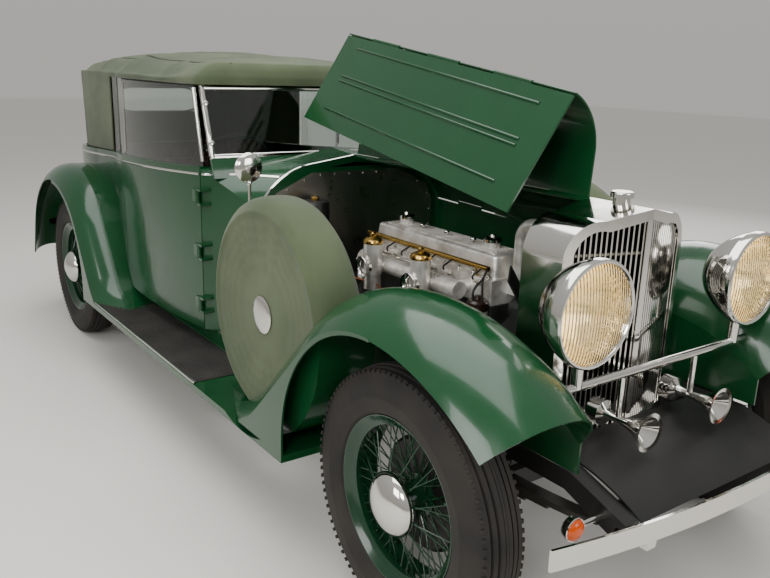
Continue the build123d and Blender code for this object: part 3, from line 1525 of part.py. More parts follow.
with BuildPart() as under_front:
    with BuildSketch(section_at_start(front_spine)):
        with BuildLine():
            under_dome(FRONT_DOME)
        make_face()
    sweep(path=front_spine)
    with BuildSketch(Plane.XZ.offset(WING_IN)):
        with BuildLine():
            nose, foot = front_wing_line(WELL_DEEP - 10)
            Polyline(nose, (nose.X, 0), (foot.X, 0), foot)
        make_face()
    extrude(amount=WING_OUT - WING_IN)

with BuildPart() as front_wing:
    with BuildSketch(section_at_start(front_spine)):
        with BuildLine():
            dome(FRONT_DOME, WING_T)
        make_face()
    sweep(path=front_spine)
    with BuildSketch(Plane.XZ.offset(WING_OUT - WING_T)):
        with BuildLine():
            nose, foot = front_wing_line(FRONT_DOME[1] - 4)
            Polyline(nose, (nose.X, 0), (foot.X, 0), foot)
        make_face()
        with Locations((foot.X, BOARD_TOP - 500)):
            Rectangle(3000, 1000, mode=Mode.SUBTRACT)
        with Locations((ARCH_X, ARCH_Z)):
            Circle(ARCH_R, mode=Mode.SUBTRACT)
        with Locations((ARCH_X + 500, 600)):
            Rectangle(1000, 1200, mode=Mode.SUBTRACT)
        with Locations((ARCH_X, ARCH_Z - ARCH_R)):
            Rectangle(2 * ARCH_R, 2 * ARCH_R, mode=Mode.SUBTRACT)
    extrude(amount=WING_T)
    with BuildSketch(Plane.XZ.offset(WING_IN)):
        with BuildLine():
            nose, foot = front_wing_line(FRONT_DOME[3] - 4)
            Polyline(nose, (nose.X, 0), (foot.X, 0), foot)
        make_face()
        with Locations((foot.X, RAIL_TOP - 500)):
            Rectangle(4000, 1000, mode=Mode.SUBTRACT)
    extrude(amount=WING_T)
    with Locations((ARCH_X - ARCH_R - 600, -WING_MID, BOARD_TOP - 300)):
        Box(1200, 600, 600, mode=Mode.SUBTRACT)
    with Locations((ARCH_X - ARCH_R, 0, RAIL_TOP - 500)):
        Box(3000, 2 * RAIL_Y + RAIL_W, 1000, mode=Mode.SUBTRACT)
    with BuildSketch(Plane.XZ.offset(SPARE_OUT - SPARE_W - 8)):
        with Locations((spare_x, SPARE_Z)):
            Circle(SPARE_R + GAP + WING_T)
    extrude(amount=SPARE_W + 16, mode=Mode.SUBTRACT)

with BuildPart() as well:
    with BuildSketch(Plane.XZ.offset(SPARE_OUT - SPARE_W - 8 - WING_T)):
        with Locations((spare_x, SPARE_Z)):
            Circle(SPARE_R + GAP + WING_T)
    extrude(amount=SPARE_W + 16 + 2 * WING_T)
    with BuildSketch(Plane.XZ.offset(SPARE_OUT - SPARE_W - 8)):
        with Locations((spare_x, SPARE_Z)):
            Circle(SPARE_R + GAP)
    extrude(amount=SPARE_W + 16, mode=Mode.SUBTRACT)
    add(under_front.part, mode=Mode.INTERSECT)

with BuildPart() as front_wing_whole:
    add(front_wing.part)
    add(well.part)
save_both("front_wings", front_wing_whole.part)

# Rear wings: the same kind of panel, closed against the body's side
with BuildLine() as rear_path:
    rear_wing_line(WING_T)
rear_spine = Plane.XZ.offset(REAR_MID) * rear_path.wire()
with BuildPart() as rear_wing:
    with BuildSketch(section_at_start(rear_spine)):
        with BuildLine():
            dome(REAR_DOME, WING_T)
        make_face()
    sweep(path=rear_spine)
    with BuildSketch(Plane.XZ.offset(WING_OUT - WING_T)):
        with BuildLine():
            rear_wing_line(WING_T + 4 - REAR_DOME[1])
            top, foot, end, back, fall = rear_arch(WING_T + 4 - REAR_DOME[1])
            Polyline(fall, (fall.X, 0), (end.X, 0), end)
        make_face()
        with Locations((REAR_AXLE, TYRE_R)):
            Circle(REAR_ARCH_R, mode=Mode.SUBTRACT)
        with Locations((REAR_AXLE - 500, 600)):
            Rectangle(1000, 1200, mode=Mode.SUBTRACT)
        with Locations((REAR_AXLE, TYRE_R - REAR_ARCH_R)):
            Rectangle(2 * REAR_ARCH_R, 2 * REAR_ARCH_R, mode=Mode.SUBTRACT)
    extrude(amount=WING_T)
    with Locations((REAR_AXLE + REAR_ARCH_R + 600 - 2, -WING_MID, BOARD_TOP - 300)):
        Box(1200, 800, 600, mode=Mode.SUBTRACT)
    add(body_form.part, mode=Mode.SUBTRACT)
save_both("rear_wings", rear_wing.part.solids().sort_by(SortBy.VOLUME)[-1])

# Running boards with their bearers out from the chassis
with BuildPart() as board:
    board_front = ARCH_X - ARCH_R
    board_back = REAR_AXLE + REAR_ARCH_R - 2
    with Locations(((board_front + board_back) / 2, -(BOARD_IN + BOARD_OUT + 17) / 2, BOARD_Z + BOARD_T / 2)):
        Box(board_front - board_back, BOARD_OUT + 17 - BOARD_IN, BOARD_T)
    for bearer_x in (board_front - 700, (board_front + board_back) / 2, board_back + 300):
        with Locations((bearer_x, -(RAIL_Y + RAIL_W / 2 + BOARD_OUT - 30) / 2, BOARD_Z - 10)):
            Box(40, BOARD_OUT - 30 - RAIL_Y - RAIL_W / 2, 20)
        with Locations((bearer_x, -RAIL_Y - RAIL_W / 2 - 10, (BOARD_Z - 20 + RAIL_TOP - 20) / 2)):
            Box(40, 20, RAIL_TOP - BOARD_Z)
    valance_back = rear_arch(0)[2].X + GAP
    valance_h = SILL_Z - SHUT - BOARD_Z
    with Locations(((valance_back + front_foot.X) / 2, -BOARD_IN - VALANCE_T / 2, BOARD_Z + valance_h / 2)):
        Box(front_foot.X - valance_back, VALANCE_T, valance_h)
    with BuildSketch(Plane.XZ.offset(BOARD_IN)):
        with Locations((spare_x, SPARE_Z)):
            Circle(SPARE_R + WING_T + 2 * GAP)
    extrude(amount=400, mode=Mode.SUBTRACT)
save_both("running_boards", board.part)

# Spare wheels under soft covers, one in each front wing
with BuildPart() as spare:
    with BuildSketch(Plane.XZ.offset(SPARE_OUT - SPARE_W)):
        with Locations((spare_x, SPARE_Z)):
            Circle(SPARE_R)
    extrude(amount=SPARE_W)
    fillet(spare.edges().filter_by(GeomType.CIRCLE), 46)
save_both("spare_covers", spare.part)

# Headlamps: chrome bowls with domed lenses, carried on a bar between the wings
lamp_x = FRONT_AXLE + LAMP_X
bar_x = FRONT_AXLE + BAR_X
lamp_plane = Plane(origin=(lamp_x, -LAMP_Y, LAMP_Z), x_dir=(1, 0, 0), z_dir=(0, -1, 0))
lamp_axis = Axis((lamp_x, -LAMP_Y, LAMP_Z), (1, 0, 0))


def bowl_line(inset):
    """Draws half of a lamp bowl's outline, from its rim to the middle of its back."""
    side = Line((0, LAMP_R - inset), (-BOWL_SIDE, LAMP_R - inset))
    back = ThreePointArc(
        side @ 1, (-BOWL_MID, LAMP_R * 0.78 - inset), (inset - LAMP_DEEP, BOWL_BACK_R - inset)
    )
    Line(back @ 1, (inset - LAMP_DEEP, 0))


with BuildPart() as headlamps:
    with BuildSketch(lamp_plane):
        with BuildLine():
            bowl_line(0)
            bowl_line(BOWL_T)
            Line((0, LAMP_R), (0, LAMP_R - BOWL_T))
            Line((-LAMP_DEEP, 0), (BOWL_T - LAMP_DEEP, 0))
        make_face()
    revolve(axis=lamp_axis)
    mirror(about=Plane.XZ)
save("headlamps", headlamps.part)

with BuildPart() as lenses:
    with BuildSketch(lamp_plane):
        with BuildLine():
            lens_r = LAMP_R - BOWL_T - GAP
            TangentArc((16, 0), (0, lens_r), tangent=(0, 1))
            Polyline((16, 0), (-8, 0), (-8, lens_r), (0, lens_r))
        make_face()
    revolve(axis=lamp_axis)
    mirror(about=Plane.XZ)
save("headlamp_lenses", lenses.part)

with BuildPart() as lamp_bar:
    with BuildSketch(Plane.XZ):
        with Locations((bar_x, BAR_Z)):
            Circle(BAR_R)
    extrude(amount=WING_IN)
    with BuildSketch(Plane.XY.offset(BAR_Z)):
        with Locations((bar_x, -LAMP_Y)):
            Circle(BAR_R + 4)
    extrude(amount=LAMP_Z - BAR_Z)
    with BuildSketch(lamp_plane):
        with BuildLine():
            bowl_line(-GAP)
            Polyline((-LAMP_DEEP - GAP, 0), (0, 0), (0, LAMP_R + GAP))
        make_face()
    revolve(axis=lamp_axis, mode=Mode.SUBTRACT)
    with BuildSketch(Plane.XZ.offset(WING_IN - 10)):
        with Locations((bar_x, BAR_Z)):
            Circle(BAR_R)
    extrude(amount=BAR_LAP)
    add(front_wing_whole.part, mode=Mode.SUBTRACT)

# Horns: two trumpets hanging from the lamp bar
with BuildPart() as horns:
    horn_axis = Axis((bar_x, -HORN_Y, HORN_Z), (1, 0, 0))
    with BuildSketch(Plane(origin=(bar_x, -HORN_Y, HORN_Z), x_dir=(1, 0, 0), z_dir=(0, -1, 0))):
        with BuildLine():
            bell = ThreePointArc((110, HORN_R), (70, 28), (-40, 18))
            Polyline(bell @ 1, (-50, 40), (-90, 40), (-90, 0), (50, 0), (108, HORN_R - 12), bell @ 0)
        make_face()
    revolve(axis=horn_axis)
    with BuildSketch(Plane.XY.offset(HORN_Z)):
        with Locations((bar_x, -HORN_Y)):
            Circle(9)
    extrude(amount=BAR_Z - HORN_Z - BAR_R + 2)
    add(lamp_bar.part.solids().sort_by(SortBy.VOLUME)[-1])
    mirror(about=Plane.XZ)
save("lamp_bar", horns.part)

# Front apron between the dumb irons, bumpers, and round lamps low beside the irons
with BuildPart() as apron:
    with BuildSketch(Plane.XZ.offset(RAIL_W / 2 - RAIL_Y)):
        with BuildLine():
            over = ThreePointArc(
                (FRONT_AXLE + 205, RAIL_TOP + 4),
                (FRONT_AXLE + 390, RAIL_TOP - 14),
                (FRONT_AXLE + IRON_REACH + 10, IRON_Z + 30),
            )
            under = ThreePointArc(
                (FRONT_AXLE + 205, RAIL_TOP - 2),
                (FRONT_AXLE + 388, RAIL_TOP - 20),
                (FRONT_AXLE + IRON_REACH + 5, IRON_Z + 28),
            )
            Line(over @ 0, under @ 0)
            Line(over @ 1, under @ 1)
        make_face()
    extrude(amount=2 * RAIL_Y - RAIL_W)
save("front_apron", apron.part)

for name, tip_x, way, root_x, iron_z in (
    ("front_bumper", LENGTH / 2, 1, FRONT_AXLE + IRON_REACH, IRON_Z + 7),
    ("rear_bumper", -LENGTH / 2, -1, TAIL + RAIL_END, RAIL_TOP - 78),
):
    with BuildPart() as bumper:
        with BuildSketch(Plane.XY.offset(BUMPER_Z)):
            with BuildLine():
                face = ThreePointArc(
                    (tip_x - way * BUMPER_BEND, -BUMPER_HALF),
                    (tip_x, 0),
                    (tip_x - way * BUMPER_BEND, BUMPER_HALF),
                )
                rear = ThreePointArc(
                    (tip_x - way * (BUMPER_BEND + BUMPER_T), -BUMPER_HALF),
                    (tip_x - way * BUMPER_T, 0),
                    (tip_x - way * (BUMPER_BEND + BUMPER_T), BUMPER_HALF),
                )
                Line(face @ 0, rear @ 0)
                Line(face @ 1, rear @ 1)
            make_face()
        extrude(amount=BUMPER_H)
        iron_end = tip_x - way * (BUMPER_BEND * (RAIL_Y / BUMPER_HALF) ** 2 + BUMPER_T / 2)
        with Locations(((root_x + iron_end) / 2, -RAIL_Y, iron_z), ((root_x + iron_end) / 2, RAIL_Y, iron_z)):
            Box(abs(iron_end - root_x), 36, 28)
    save(name, bumper.part)

with BuildPart() as indicators:
    stalk_z = IRON_Z + 24
    with BuildSketch(Plane.XZ.offset(RAIL_Y + RAIL_W / 2)):
        with Locations((FRONT_AXLE + 450, stalk_z)):
            Circle(9)
    extrude(amount=100)
    with BuildSketch(section_plane(FRONT_AXLE + 430)):
        with Locations((-RAIL_Y - RAIL_W / 2 - 110, stalk_z)):
            Circle(34)
    extrude(amount=46)
    mirror(about=Plane.XZ)
save("indicators", indicators.part)

# Fuel tank between the rear rails, and tail lamps on the rear wings
with BuildPart() as tank:
    with Locations((REAR_AXLE - 440, 0, 512)):
        Box(200, 2 * RAIL_Y - RAIL_W, 160)
    fillet(tank.edges().filter_by(Axis.Y), 30)
save("fuel_tank", tank.part)

with BuildPart() as tail_lamps:
    with BuildSketch(section_plane(REAR_AXLE - 650)):
        with Locations((-REAR_MID, 580)):
            Circle(38)
    extrude(amount=100)
    add(rear_wing.part, mode=Mode.SUBTRACT)
tail_lamp = tail_lamps.part.solids().sort_by(Axis.X)[0]
with BuildPart() as tail_pair:
    add(tail_lamp)
    mirror(about=Plane.XZ)
save("tail_lamps", tail_pair.part)

# Mirrors standing on the spare wheels
with BuildPart() as mirror_head:
    stalk_x = spare_x - 250
    stalk_low = SPARE_Z + (SPARE_R**2 - 250**2) ** 0.5
    with BuildSketch(Plane.XY.offset(stalk_low - 40)):
        with Locations((stalk_x, SPARE_W / 2 - SPARE_OUT)):
            Circle(7)
    extrude(amount=150)
    with BuildSketch(section_plane(stalk_x - 12)):
        with Locations((SPARE_W / 2 - SPARE_OUT, stalk_low + 150)):
            Circle(55)
    extrude(amount=24)
    add(spare.part, mode=Mode.SUBTRACT)
save_both("mirrors", mirror_head.part)

# Cabin: dashboard, steering column and wheel, and seats
with BuildPart() as dashboard:
    with Locations((DOOR_X + 10, 0, 1110)):
        Box(20, 2 * (HALF_SCREEN - SCUTTLE_T), 300)
    add(scuttle.part, mode=Mode.SUBTRACT)
save("dashboard", dashboard.part.solids().sort_by(SortBy.VOLUME)[-1])

with BuildPart() as column:
    with BuildSketch(column_plane):
        Circle(COLUMN_R)
    extrude(amount=COLUMN_LENGTH)
    with BuildSketch(column_plane):
        Circle(COLUMN_R - 8)
    extrude(amount=40, mode=Mode.SUBTRACT)
    box_in = STEER_Y - 40
    box_out = RAIL_Y - RAIL_W / 2
    with Locations((column_foot.X - 10, -(box_in + box_out) / 2, column_foot.Z - 50)):
        Box(110, box_out - box_in, 180)
save("steering_column", column.part)

with BuildPart() as steering_wheel:
    rim_plane = Plane(column_head - column_dir * 30, x_dir=(0, 1, 0), z_dir=column_dir)
    with BuildSketch(Plane(rim_plane.origin, x_dir=rim_plane.x_dir, z_dir=rim_plane.y_dir)):
        with Locations((STEER_R - 12, 0)):
            Circle(12)
    revolve(axis=Axis(rim_plane.origin, rim_plane.z_dir))
    with BuildSketch(rim_plane):
        Circle(34)
    extrude(amount=-10)
    with BuildSketch(rim_plane):
        Circle(34)
    extrude(amount=26)
    for n in range(3):
        with BuildSketch(rim_plane):
            with Locations(Location((0, 0), 120 * n + 90)):
                with Locations((STEER_R / 2, 0)):
                    Rectangle(STEER_R - 14, 22)
        extrude(amount=6)
    with BuildSketch(rim_plane):
        Circle(COLUMN_R - 8 - RUNNING)
    extrude(amount=66)
save("steering_wheel", steering_wheel.part)

with BuildPart() as front_seat:
    floor_z = RAIL_TOP + FLOOR_T
    with Locations((FRONT_SEAT_X, -SEAT_Y, floor_z + 85)):
        Box(500, SEAT_W, 170)
    with BuildSketch(Plane.XZ.offset(SEAT_Y - SEAT_W / 2)):
        with BuildLine():
            Polyline(
                (FRONT_SEAT_X - 250, floor_z + 60),
                (FRONT_SEAT_X - 110, floor_z + 60),
                (FRONT_SEAT_X - 180, floor_z + 560),
                (FRONT_SEAT_X - 300, floor_z + 560),
                close=True,
            )
        make_face()
    extrude(amount=SEAT_W)
    fillet(front_seat.edges().filter_by(Axis.Y), 24)
save_both("front_seats", front_seat.part)

with BuildPart() as rear_seat:
    bench_z = RAIL_TOP + KICK + FLOOR_T
    bench_w = 2 * (HALF_REAR - BODY_T - 14)
    with Locations((REAR_SEAT_X, 0, bench_z + 70)):
        Box(500, bench_w, 140)
    with BuildSketch(Plane.XZ.offset(-bench_w / 2)):
        with BuildLine():
            Polyline(
                (REAR_SEAT_X - 250, bench_z + 60),
                (REAR_SEAT_X - 130, bench_z + 60),
                (REAR_SEAT_X - 200, bench_z + 430),
                (REAR_SEAT_X - 330, bench_z + 430),
                close=True,
            )
        make_face()
    extrude(amount=bench_w)
    fillet(rear_seat.edges().filter_by(Axis.Y), 24)
save("rear_seat", rear_seat.part)
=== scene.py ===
import json
import math

import bpy
from mathutils import Matrix, Vector, noise


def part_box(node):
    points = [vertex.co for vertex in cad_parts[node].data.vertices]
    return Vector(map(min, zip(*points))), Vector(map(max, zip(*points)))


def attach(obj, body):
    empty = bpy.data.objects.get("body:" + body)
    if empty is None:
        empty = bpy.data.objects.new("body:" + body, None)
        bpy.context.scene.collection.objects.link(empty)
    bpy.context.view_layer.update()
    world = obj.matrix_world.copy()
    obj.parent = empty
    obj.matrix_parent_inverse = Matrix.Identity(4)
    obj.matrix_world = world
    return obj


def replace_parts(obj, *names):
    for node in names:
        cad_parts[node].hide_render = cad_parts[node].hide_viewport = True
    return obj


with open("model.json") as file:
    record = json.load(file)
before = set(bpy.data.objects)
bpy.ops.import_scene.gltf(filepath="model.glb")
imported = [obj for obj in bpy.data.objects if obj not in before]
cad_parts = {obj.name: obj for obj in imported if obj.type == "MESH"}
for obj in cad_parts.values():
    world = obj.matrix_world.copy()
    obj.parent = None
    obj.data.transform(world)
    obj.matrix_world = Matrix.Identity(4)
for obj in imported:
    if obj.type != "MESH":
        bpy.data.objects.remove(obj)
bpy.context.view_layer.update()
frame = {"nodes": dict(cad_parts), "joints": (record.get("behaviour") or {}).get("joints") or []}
cad_nodes = frame["nodes"]

# Painted body panels: pressed steel and ash-framed panels, sprayed with many coats of deep green
# cellulose and flatted and polished by hand, so the gloss is deep, with a faint orange peel and
# a little dust.


def tint(code):
    """An sRGB hex colour as linear red, green, blue and alpha."""
    parts = [int(code[i : i + 2], 16) / 255 for i in (0, 2, 4)]
    return [c / 12.92 if c <= 0.04045 else ((c + 0.055) / 1.055) ** 2.4 for c in parts] + [1.0]


def feed(tree, node, inputs):
    """Links a node's inputs to the sockets given for them, and sets the rest as plain values."""
    for name, value in inputs.items():
        if isinstance(value, bpy.types.NodeSocket):
            tree.links.new(value, node.inputs[name])
        else:
            node.inputs[name].default_value = value


def add_node(tree, kind, inputs=None, **settings):
    """Adds a shader node, with its settings, its input values and the sockets that feed it."""
    node = tree.nodes.new(kind)
    for name, value in settings.items():
        setattr(node, name, value)
    feed(tree, node, inputs or {})
    return node


def new_material(name):
    """A material with a plain Principled surface, its tree, that surface and object coordinates."""
    material = bpy.data.materials.new(name)
    material.use_nodes = True
    tree = material.node_tree
    tree.nodes.clear()
    surface = add_node(tree, "ShaderNodeBsdfPrincipled")
    add_node(tree, "ShaderNodeOutputMaterial", {"Surface": surface.outputs["BSDF"]})
    place = add_node(tree, "ShaderNodeTexCoord").outputs["Object"]
    return material, tree, surface, place


def spaced(mm):
    """The scale of a pattern whose marks are this many millimetres across."""
    return 1000 / mm


def cellulose(name, deep, light):
    """Polished cellulose paint between two near shades, with orange peel and a film of dust."""
    material, tree, surface, place = new_material(name)
    cloud = add_node(tree, "ShaderNodeTexNoise", {"Vector": place, "Scale": spaced(455), "Detail": 5.0})
    shade = add_node(
        tree, "ShaderNodeMix", {"Factor": cloud.outputs["Fac"], 6: tint(deep), 7: tint(light)},
        data_type="RGBA",
    )
    dust = add_node(tree, "ShaderNodeTexNoise", {"Vector": place, "Scale": spaced(71.4), "Detail": 8.0})
    gloss = add_node(
        tree, "ShaderNodeMapRange",
        {"Value": dust.outputs["Fac"], "From Min": 0.3, "From Max": 0.75, "To Min": 0.14, "To Max": 0.26},
    )
    peel = add_node(tree, "ShaderNodeTexNoise", {"Vector": place, "Scale": spaced(3.125), "Detail": 2.0})
    bump = add_node(
        tree, "ShaderNodeBump", {"Height": peel.outputs["Fac"], "Strength": 0.03, "Distance": 0.002}
    )
    feed(tree, surface, {
        "Base Color": shade.outputs[2], "Roughness": gloss.outputs["Result"],
        "Normal": bump.outputs["Normal"],
        "Coat Weight": 0.3, "Coat Roughness": 0.04, "Specular IOR Level": 0.35,
    })
    return material


def dress(material, *names):
    """Gives CAD nodes a material."""
    for name in names:
        cad_nodes[name].data.materials.clear()
        cad_nodes[name].data.materials.append(material)


body_green = cellulose("green_cellulose", "0A3319", "114524")
dress(
    body_green,
    "front_wings", "rear_wings", "scuttle", "rear_body", "boot_lid", "door_left", "door_right",
    "bonnet_top_left", "bonnet_top_right", "bonnet_side_left", "bonnet_side_right",
)

# Chassis, axles and springs: riveted steel pressings and forgings, brush-painted in black enamel
# that has dulled and picked up road dust. The springs and rods are the same steel with a thin,
# oily coat.


def enamel(name, deep, light, rough):
    """Brushed-on enamel on steel, dulled unevenly, with settled dust."""
    material, tree, surface, place = new_material(name)
    grime = add_node(tree, "ShaderNodeTexNoise", {"Vector": place, "Scale": spaced(111), "Detail": 7.0})
    shade = add_node(
        tree, "ShaderNodeMix", {"Factor": grime.outputs["Fac"], 6: tint(deep), 7: tint(light)},
        data_type="RGBA",
    )
    gloss = add_node(
        tree, "ShaderNodeMapRange",
        {"Value": grime.outputs["Fac"], "To Min": rough - 0.12, "To Max": rough + 0.2},
    )
    brush = add_node(tree, "ShaderNodeTexNoise", {"Vector": place, "Scale": spaced(6.25), "Detail": 3.0})
    bump = add_node(
        tree, "ShaderNodeBump", {"Height": brush.outputs["Fac"], "Strength": 0.12, "Distance": 0.002}
    )
    feed(tree, surface, {
        "Base Color": shade.outputs[2], "Roughness": gloss.outputs["Result"],
        "Normal": bump.outputs["Normal"],
    })
    return material


chassis_black = enamel("chassis_black_enamel", "060606", "181614", 0.42)
spring_steel = enamel("oiled_spring_steel", "1A1917", "3A3630", 0.48)
# The front apron takes this black enamel too; its blackness is partly its own finish and partly painted
# shade for the dark space under the front wings.
dress(
    chassis_black,
    "front_apron", "chassis_frame", "fuel_tank", "bonnet_ledges", "floor", "steering_column",
    "rear_axle", "front_axle",
)
dress(spring_steel, "leaf_springs", "knuckle_left", "knuckle_right", "track_rod")

# Tyres: cord tyres of natural and black rubber, moulded with ribs round the tread and short bars
# on the shoulders. Old rubber is brownish and matt, and lighter where it is dusty.
TYRE_R = 0.400
TYRE_W = 0.165
WHEEL_Y = 0.710
RIM_R = 0.246
AXLES = {
    end: sum(corner[0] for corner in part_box(f"tyre_{end}_left")) / 2 for end in ("front", "rear")
}


def hold(*pieces):
    """Makes these pieces the only selected ones, the first of them active."""
    bpy.ops.object.select_all(action="DESELECT")
    for piece in pieces:
        piece.select_set(True)
    bpy.context.view_layer.objects.active = pieces[0]


def settle(*pieces):
    """Works the place, turn and size of pieces into their meshes."""
    hold(*pieces)
    bpy.ops.object.transform_apply(location=True, rotation=True, scale=True)


def worked(piece, kind, **settings):
    """Adds a modifier with its settings to a piece, and applies it."""
    modifier = piece.modifiers.new(kind.lower(), kind)
    for name, value in settings.items():
        setattr(modifier, name, value)
    hold(piece)
    bpy.ops.object.modifier_apply(modifier=modifier.name)


def close_mesh(piece):
    """Merges doubled points and turns every face outwards."""
    hold(piece)
    bpy.ops.object.mode_set(mode="EDIT")
    bpy.ops.mesh.select_all(action="SELECT")
    bpy.ops.mesh.remove_doubles(threshold=0.00002)
    bpy.ops.mesh.normals_make_consistent(inside=False)
    bpy.ops.object.mode_set(mode="OBJECT")


def turned(outline, steps, axis=(0, 1, 0)):
    """Spins a closed outline of (radius, offset) points about an axis through the origin."""
    bpy.ops.object.select_all(action="DESELECT")
    bpy.ops.mesh.primitive_circle_add(vertices=len(outline))
    piece = bpy.context.object
    along = Vector(axis)
    out = Vector((0, 0, 1)) if along.z == 0 else Vector((1, 0, 0))
    for vertex, (radius, offset) in zip(piece.data.vertices, outline):
        vertex.co = out * radius + along * offset
    bpy.ops.object.mode_set(mode="EDIT")
    bpy.ops.mesh.select_all(action="SELECT")
    bpy.ops.mesh.spin(steps=steps, angle=2 * math.pi, center=(0, 0, 0), axis=axis)
    bpy.ops.object.mode_set(mode="OBJECT")
    close_mesh(piece)
    return piece


def joined(*pieces):
    """Joins pieces into the first."""
    hold(*pieces)
    bpy.ops.object.join()
    return pieces[0]


def finished(piece, name, material, smooth=32, body="chassis"):
    """Settles, smooths, names and coats a piece, and rides it on its body."""
    settle(piece)
    bpy.ops.object.shade_smooth_by_angle(angle=math.radians(smooth))
    piece.name = name
    piece.data.materials.clear()
    piece.data.materials.append(material)
    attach(piece, body)
    return piece


def copied(piece, place):
    """A copy of a piece with its own mesh, moved, turned or mirrored to its place."""
    copy = piece.copy()
    copy.data = piece.data.copy()
    bpy.context.scene.collection.objects.link(copy)
    copy.matrix_world = place @ piece.matrix_world
    return copy


def rubber(name, deep, dusty):
    """Old matt rubber, dusty in broad patches."""
    material, tree, surface, place = new_material(name)
    dust = add_node(tree, "ShaderNodeTexNoise", {"Vector": place, "Scale": spaced(167), "Detail": 8.0})
    spread = add_node(
        tree, "ShaderNodeMapRange", {"Value": dust.outputs["Fac"], "From Min": 0.35, "From Max": 0.8}
    )
    shade = add_node(
        tree, "ShaderNodeMix", {"Factor": spread.outputs["Result"], 6: tint(deep), 7: tint(dusty)},
        data_type="RGBA",
    )
    grain = add_node(tree, "ShaderNodeTexNoise", {"Vector": place, "Scale": spaced(1.67), "Detail": 3.0})
    bump = add_node(
        tree, "ShaderNodeBump", {"Height": grain.outputs["Fac"], "Strength": 0.2, "Distance": 0.001}
    )
    feed(tree, surface, {
        "Base Color": shade.outputs[2], "Roughness": 0.78, "Normal": bump.outputs["Normal"],
    })
    return material


tyre_rubber = rubber("tyre_rubber", "0F0C0A", "2A241E")


def tyre_outline():
    """One side of the tyre's section and its mirror: bead, wall with two fine ribs, ribbed tread."""
    half = TYRE_W / 2
    side = [
        (RIM_R + 0.0123, half - 0.022), (RIM_R + 0.020, half - 0.012), (RIM_R + 0.026, half - 0.010),
        (RIM_R + 0.040, half - 0.0035), (RIM_R + 0.062, half), (RIM_R + 0.064, half + 0.0008),
        (RIM_R + 0.068, half + 0.0008), (RIM_R + 0.070, half), (RIM_R + 0.094, half - 0.002),
        (RIM_R + 0.112, half - 0.007), (RIM_R + 0.127, half - 0.013), (RIM_R + 0.137, half - 0.017),
    ]
    crown = []
    for rib in range(3):
        outer = half - 0.021 - rib * 0.021
        height = TYRE_R - 0.0105 + rib * 0.0045
        crown += [
            (height, outer), (height + 0.001, outer - 0.0135), (height - 0.006, outer - 0.015),
            (height - 0.006, outer - 0.0185),
        ]
    half_outline = side + crown + [(TYRE_R - 0.0002, 0.0045)]
    return half_outline + [(radius, -offset) for radius, offset in reversed(half_outline)]


tyre_pattern = turned(tyre_outline(), 120)
BAR_COUNT = 96
bar_pieces = []
bpy.ops.object.select_all(action="DESELECT")
bpy.ops.mesh.primitive_cube_add(size=1, location=(0, TYRE_W / 2 - 0.016, RIM_R + 0.1405))
bar = bpy.context.object
bar.scale = (0.011, 0.012, 0.008)
bar.rotation_euler = (math.radians(-38), 0, 0)
settle(bar)
worked(bar, "BEVEL", width=0.0015, segments=1)
for side in (1, -1):
    for n in range(BAR_COUNT):
        turn = Matrix.Rotation(2 * math.pi * (n + 0.25 * side) / BAR_COUNT, 4, "Y")
        flip = Matrix.Diagonal((1, side, 1, 1))
        bar_pieces.append(copied(bar, turn @ flip))
bpy.data.objects.remove(bar)
settle(*bar_pieces)
for piece in bar_pieces[BAR_COUNT:]:
    piece.data.flip_normals()
tyre_pattern = joined(tyre_pattern, *bar_pieces)

for end, axle_x in AXLES.items():
    for side, word in ((1, "left"), (-1, "right")):
        place = Matrix.Translation((axle_x, side * WHEEL_Y, TYRE_R))
        tread = copied(tyre_pattern, place)
        finished(tread, f"tyre_{end}_{word}_tread", tyre_rubber, body=f"wheel_{end}_{word}")
        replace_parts(tread, f"tyre_{end}_{word}")

# Wire wheels: a rolled steel rim laced to a splined hub with three rows of butted spokes, all
# stove-enamelled in the body's green. A large plated cap covers the hub, and the black brake drum
# shows through the spokes.
wheel_green = cellulose("wheel_green_enamel", "0A2816", "113820")


def polished(name, colour, rough):
    """Polished plate: bright metal with faint wipe marks."""
    material, tree, surface, place = new_material(name)
    wipe = add_node(tree, "ShaderNodeTexNoise", {"Vector": place, "Scale": spaced(55.6), "Detail": 6.0})
    gloss = add_node(
        tree, "ShaderNodeMapRange",
        {
            "Value": wipe.outputs["Fac"], "From Min": 0.3, "From Max": 0.7,
            "To Min": rough, "To Max": rough + 0.1,
        },
    )
    pit = add_node(tree, "ShaderNodeTexNoise", {"Vector": place, "Scale": spaced(11.1), "Detail": 4.0})
    bump = add_node(
        tree, "ShaderNodeBump", {"Height": pit.outputs["Fac"], "Strength": 0.025, "Distance": 0.002}
    )
    feed(tree, surface, {
        "Base Color": tint(colour), "Metallic": 1.0, "Roughness": gloss.outputs["Result"],
        "Normal": bump.outputs["Normal"],
    })
    return material


chrome = polished("chromium_plate", "D4D2CC", 0.05)
HUB_R = 0.048
HUB_IN = 0.040
HUB_END = 0.118
DRUM_R = 0.175
SPOKE_R = 0.0021
# a row of spokes: how many, their radius and offset at the hub, offset at the rim, and lean
SPOKE_ROWS = (
    (24, HUB_R - 0.002, 0.073, 0.016, 17),
    (24, HUB_R + 0.010, -0.033, -0.020, 24),
    (24, HUB_R - 0.004, -0.020, 0.024, 24),
)


def aimed(way):
    """A turn that points an upright piece along a direction."""
    return Vector(way).to_track_quat("Z", "Y").to_matrix().to_4x4()


def rod(start, end, radius, sides=6):
    """A straight round bar between two points."""
    start, end = Vector(start), Vector(end)
    bpy.ops.object.select_all(action="DESELECT")
    bpy.ops.mesh.primitive_cylinder_add(vertices=sides, radius=radius, depth=(end - start).length)
    bar = bpy.context.object
    bar.matrix_world = Matrix.Translation((start + end) / 2) @ aimed(end - start)
    settle(bar)
    return bar


def round_about(radius, angle, offset):
    """A point on a circle about the wheel's axis; the wheel's outer face looks along +Y."""
    return Vector((radius * math.cos(angle), offset, radius * math.sin(angle)))


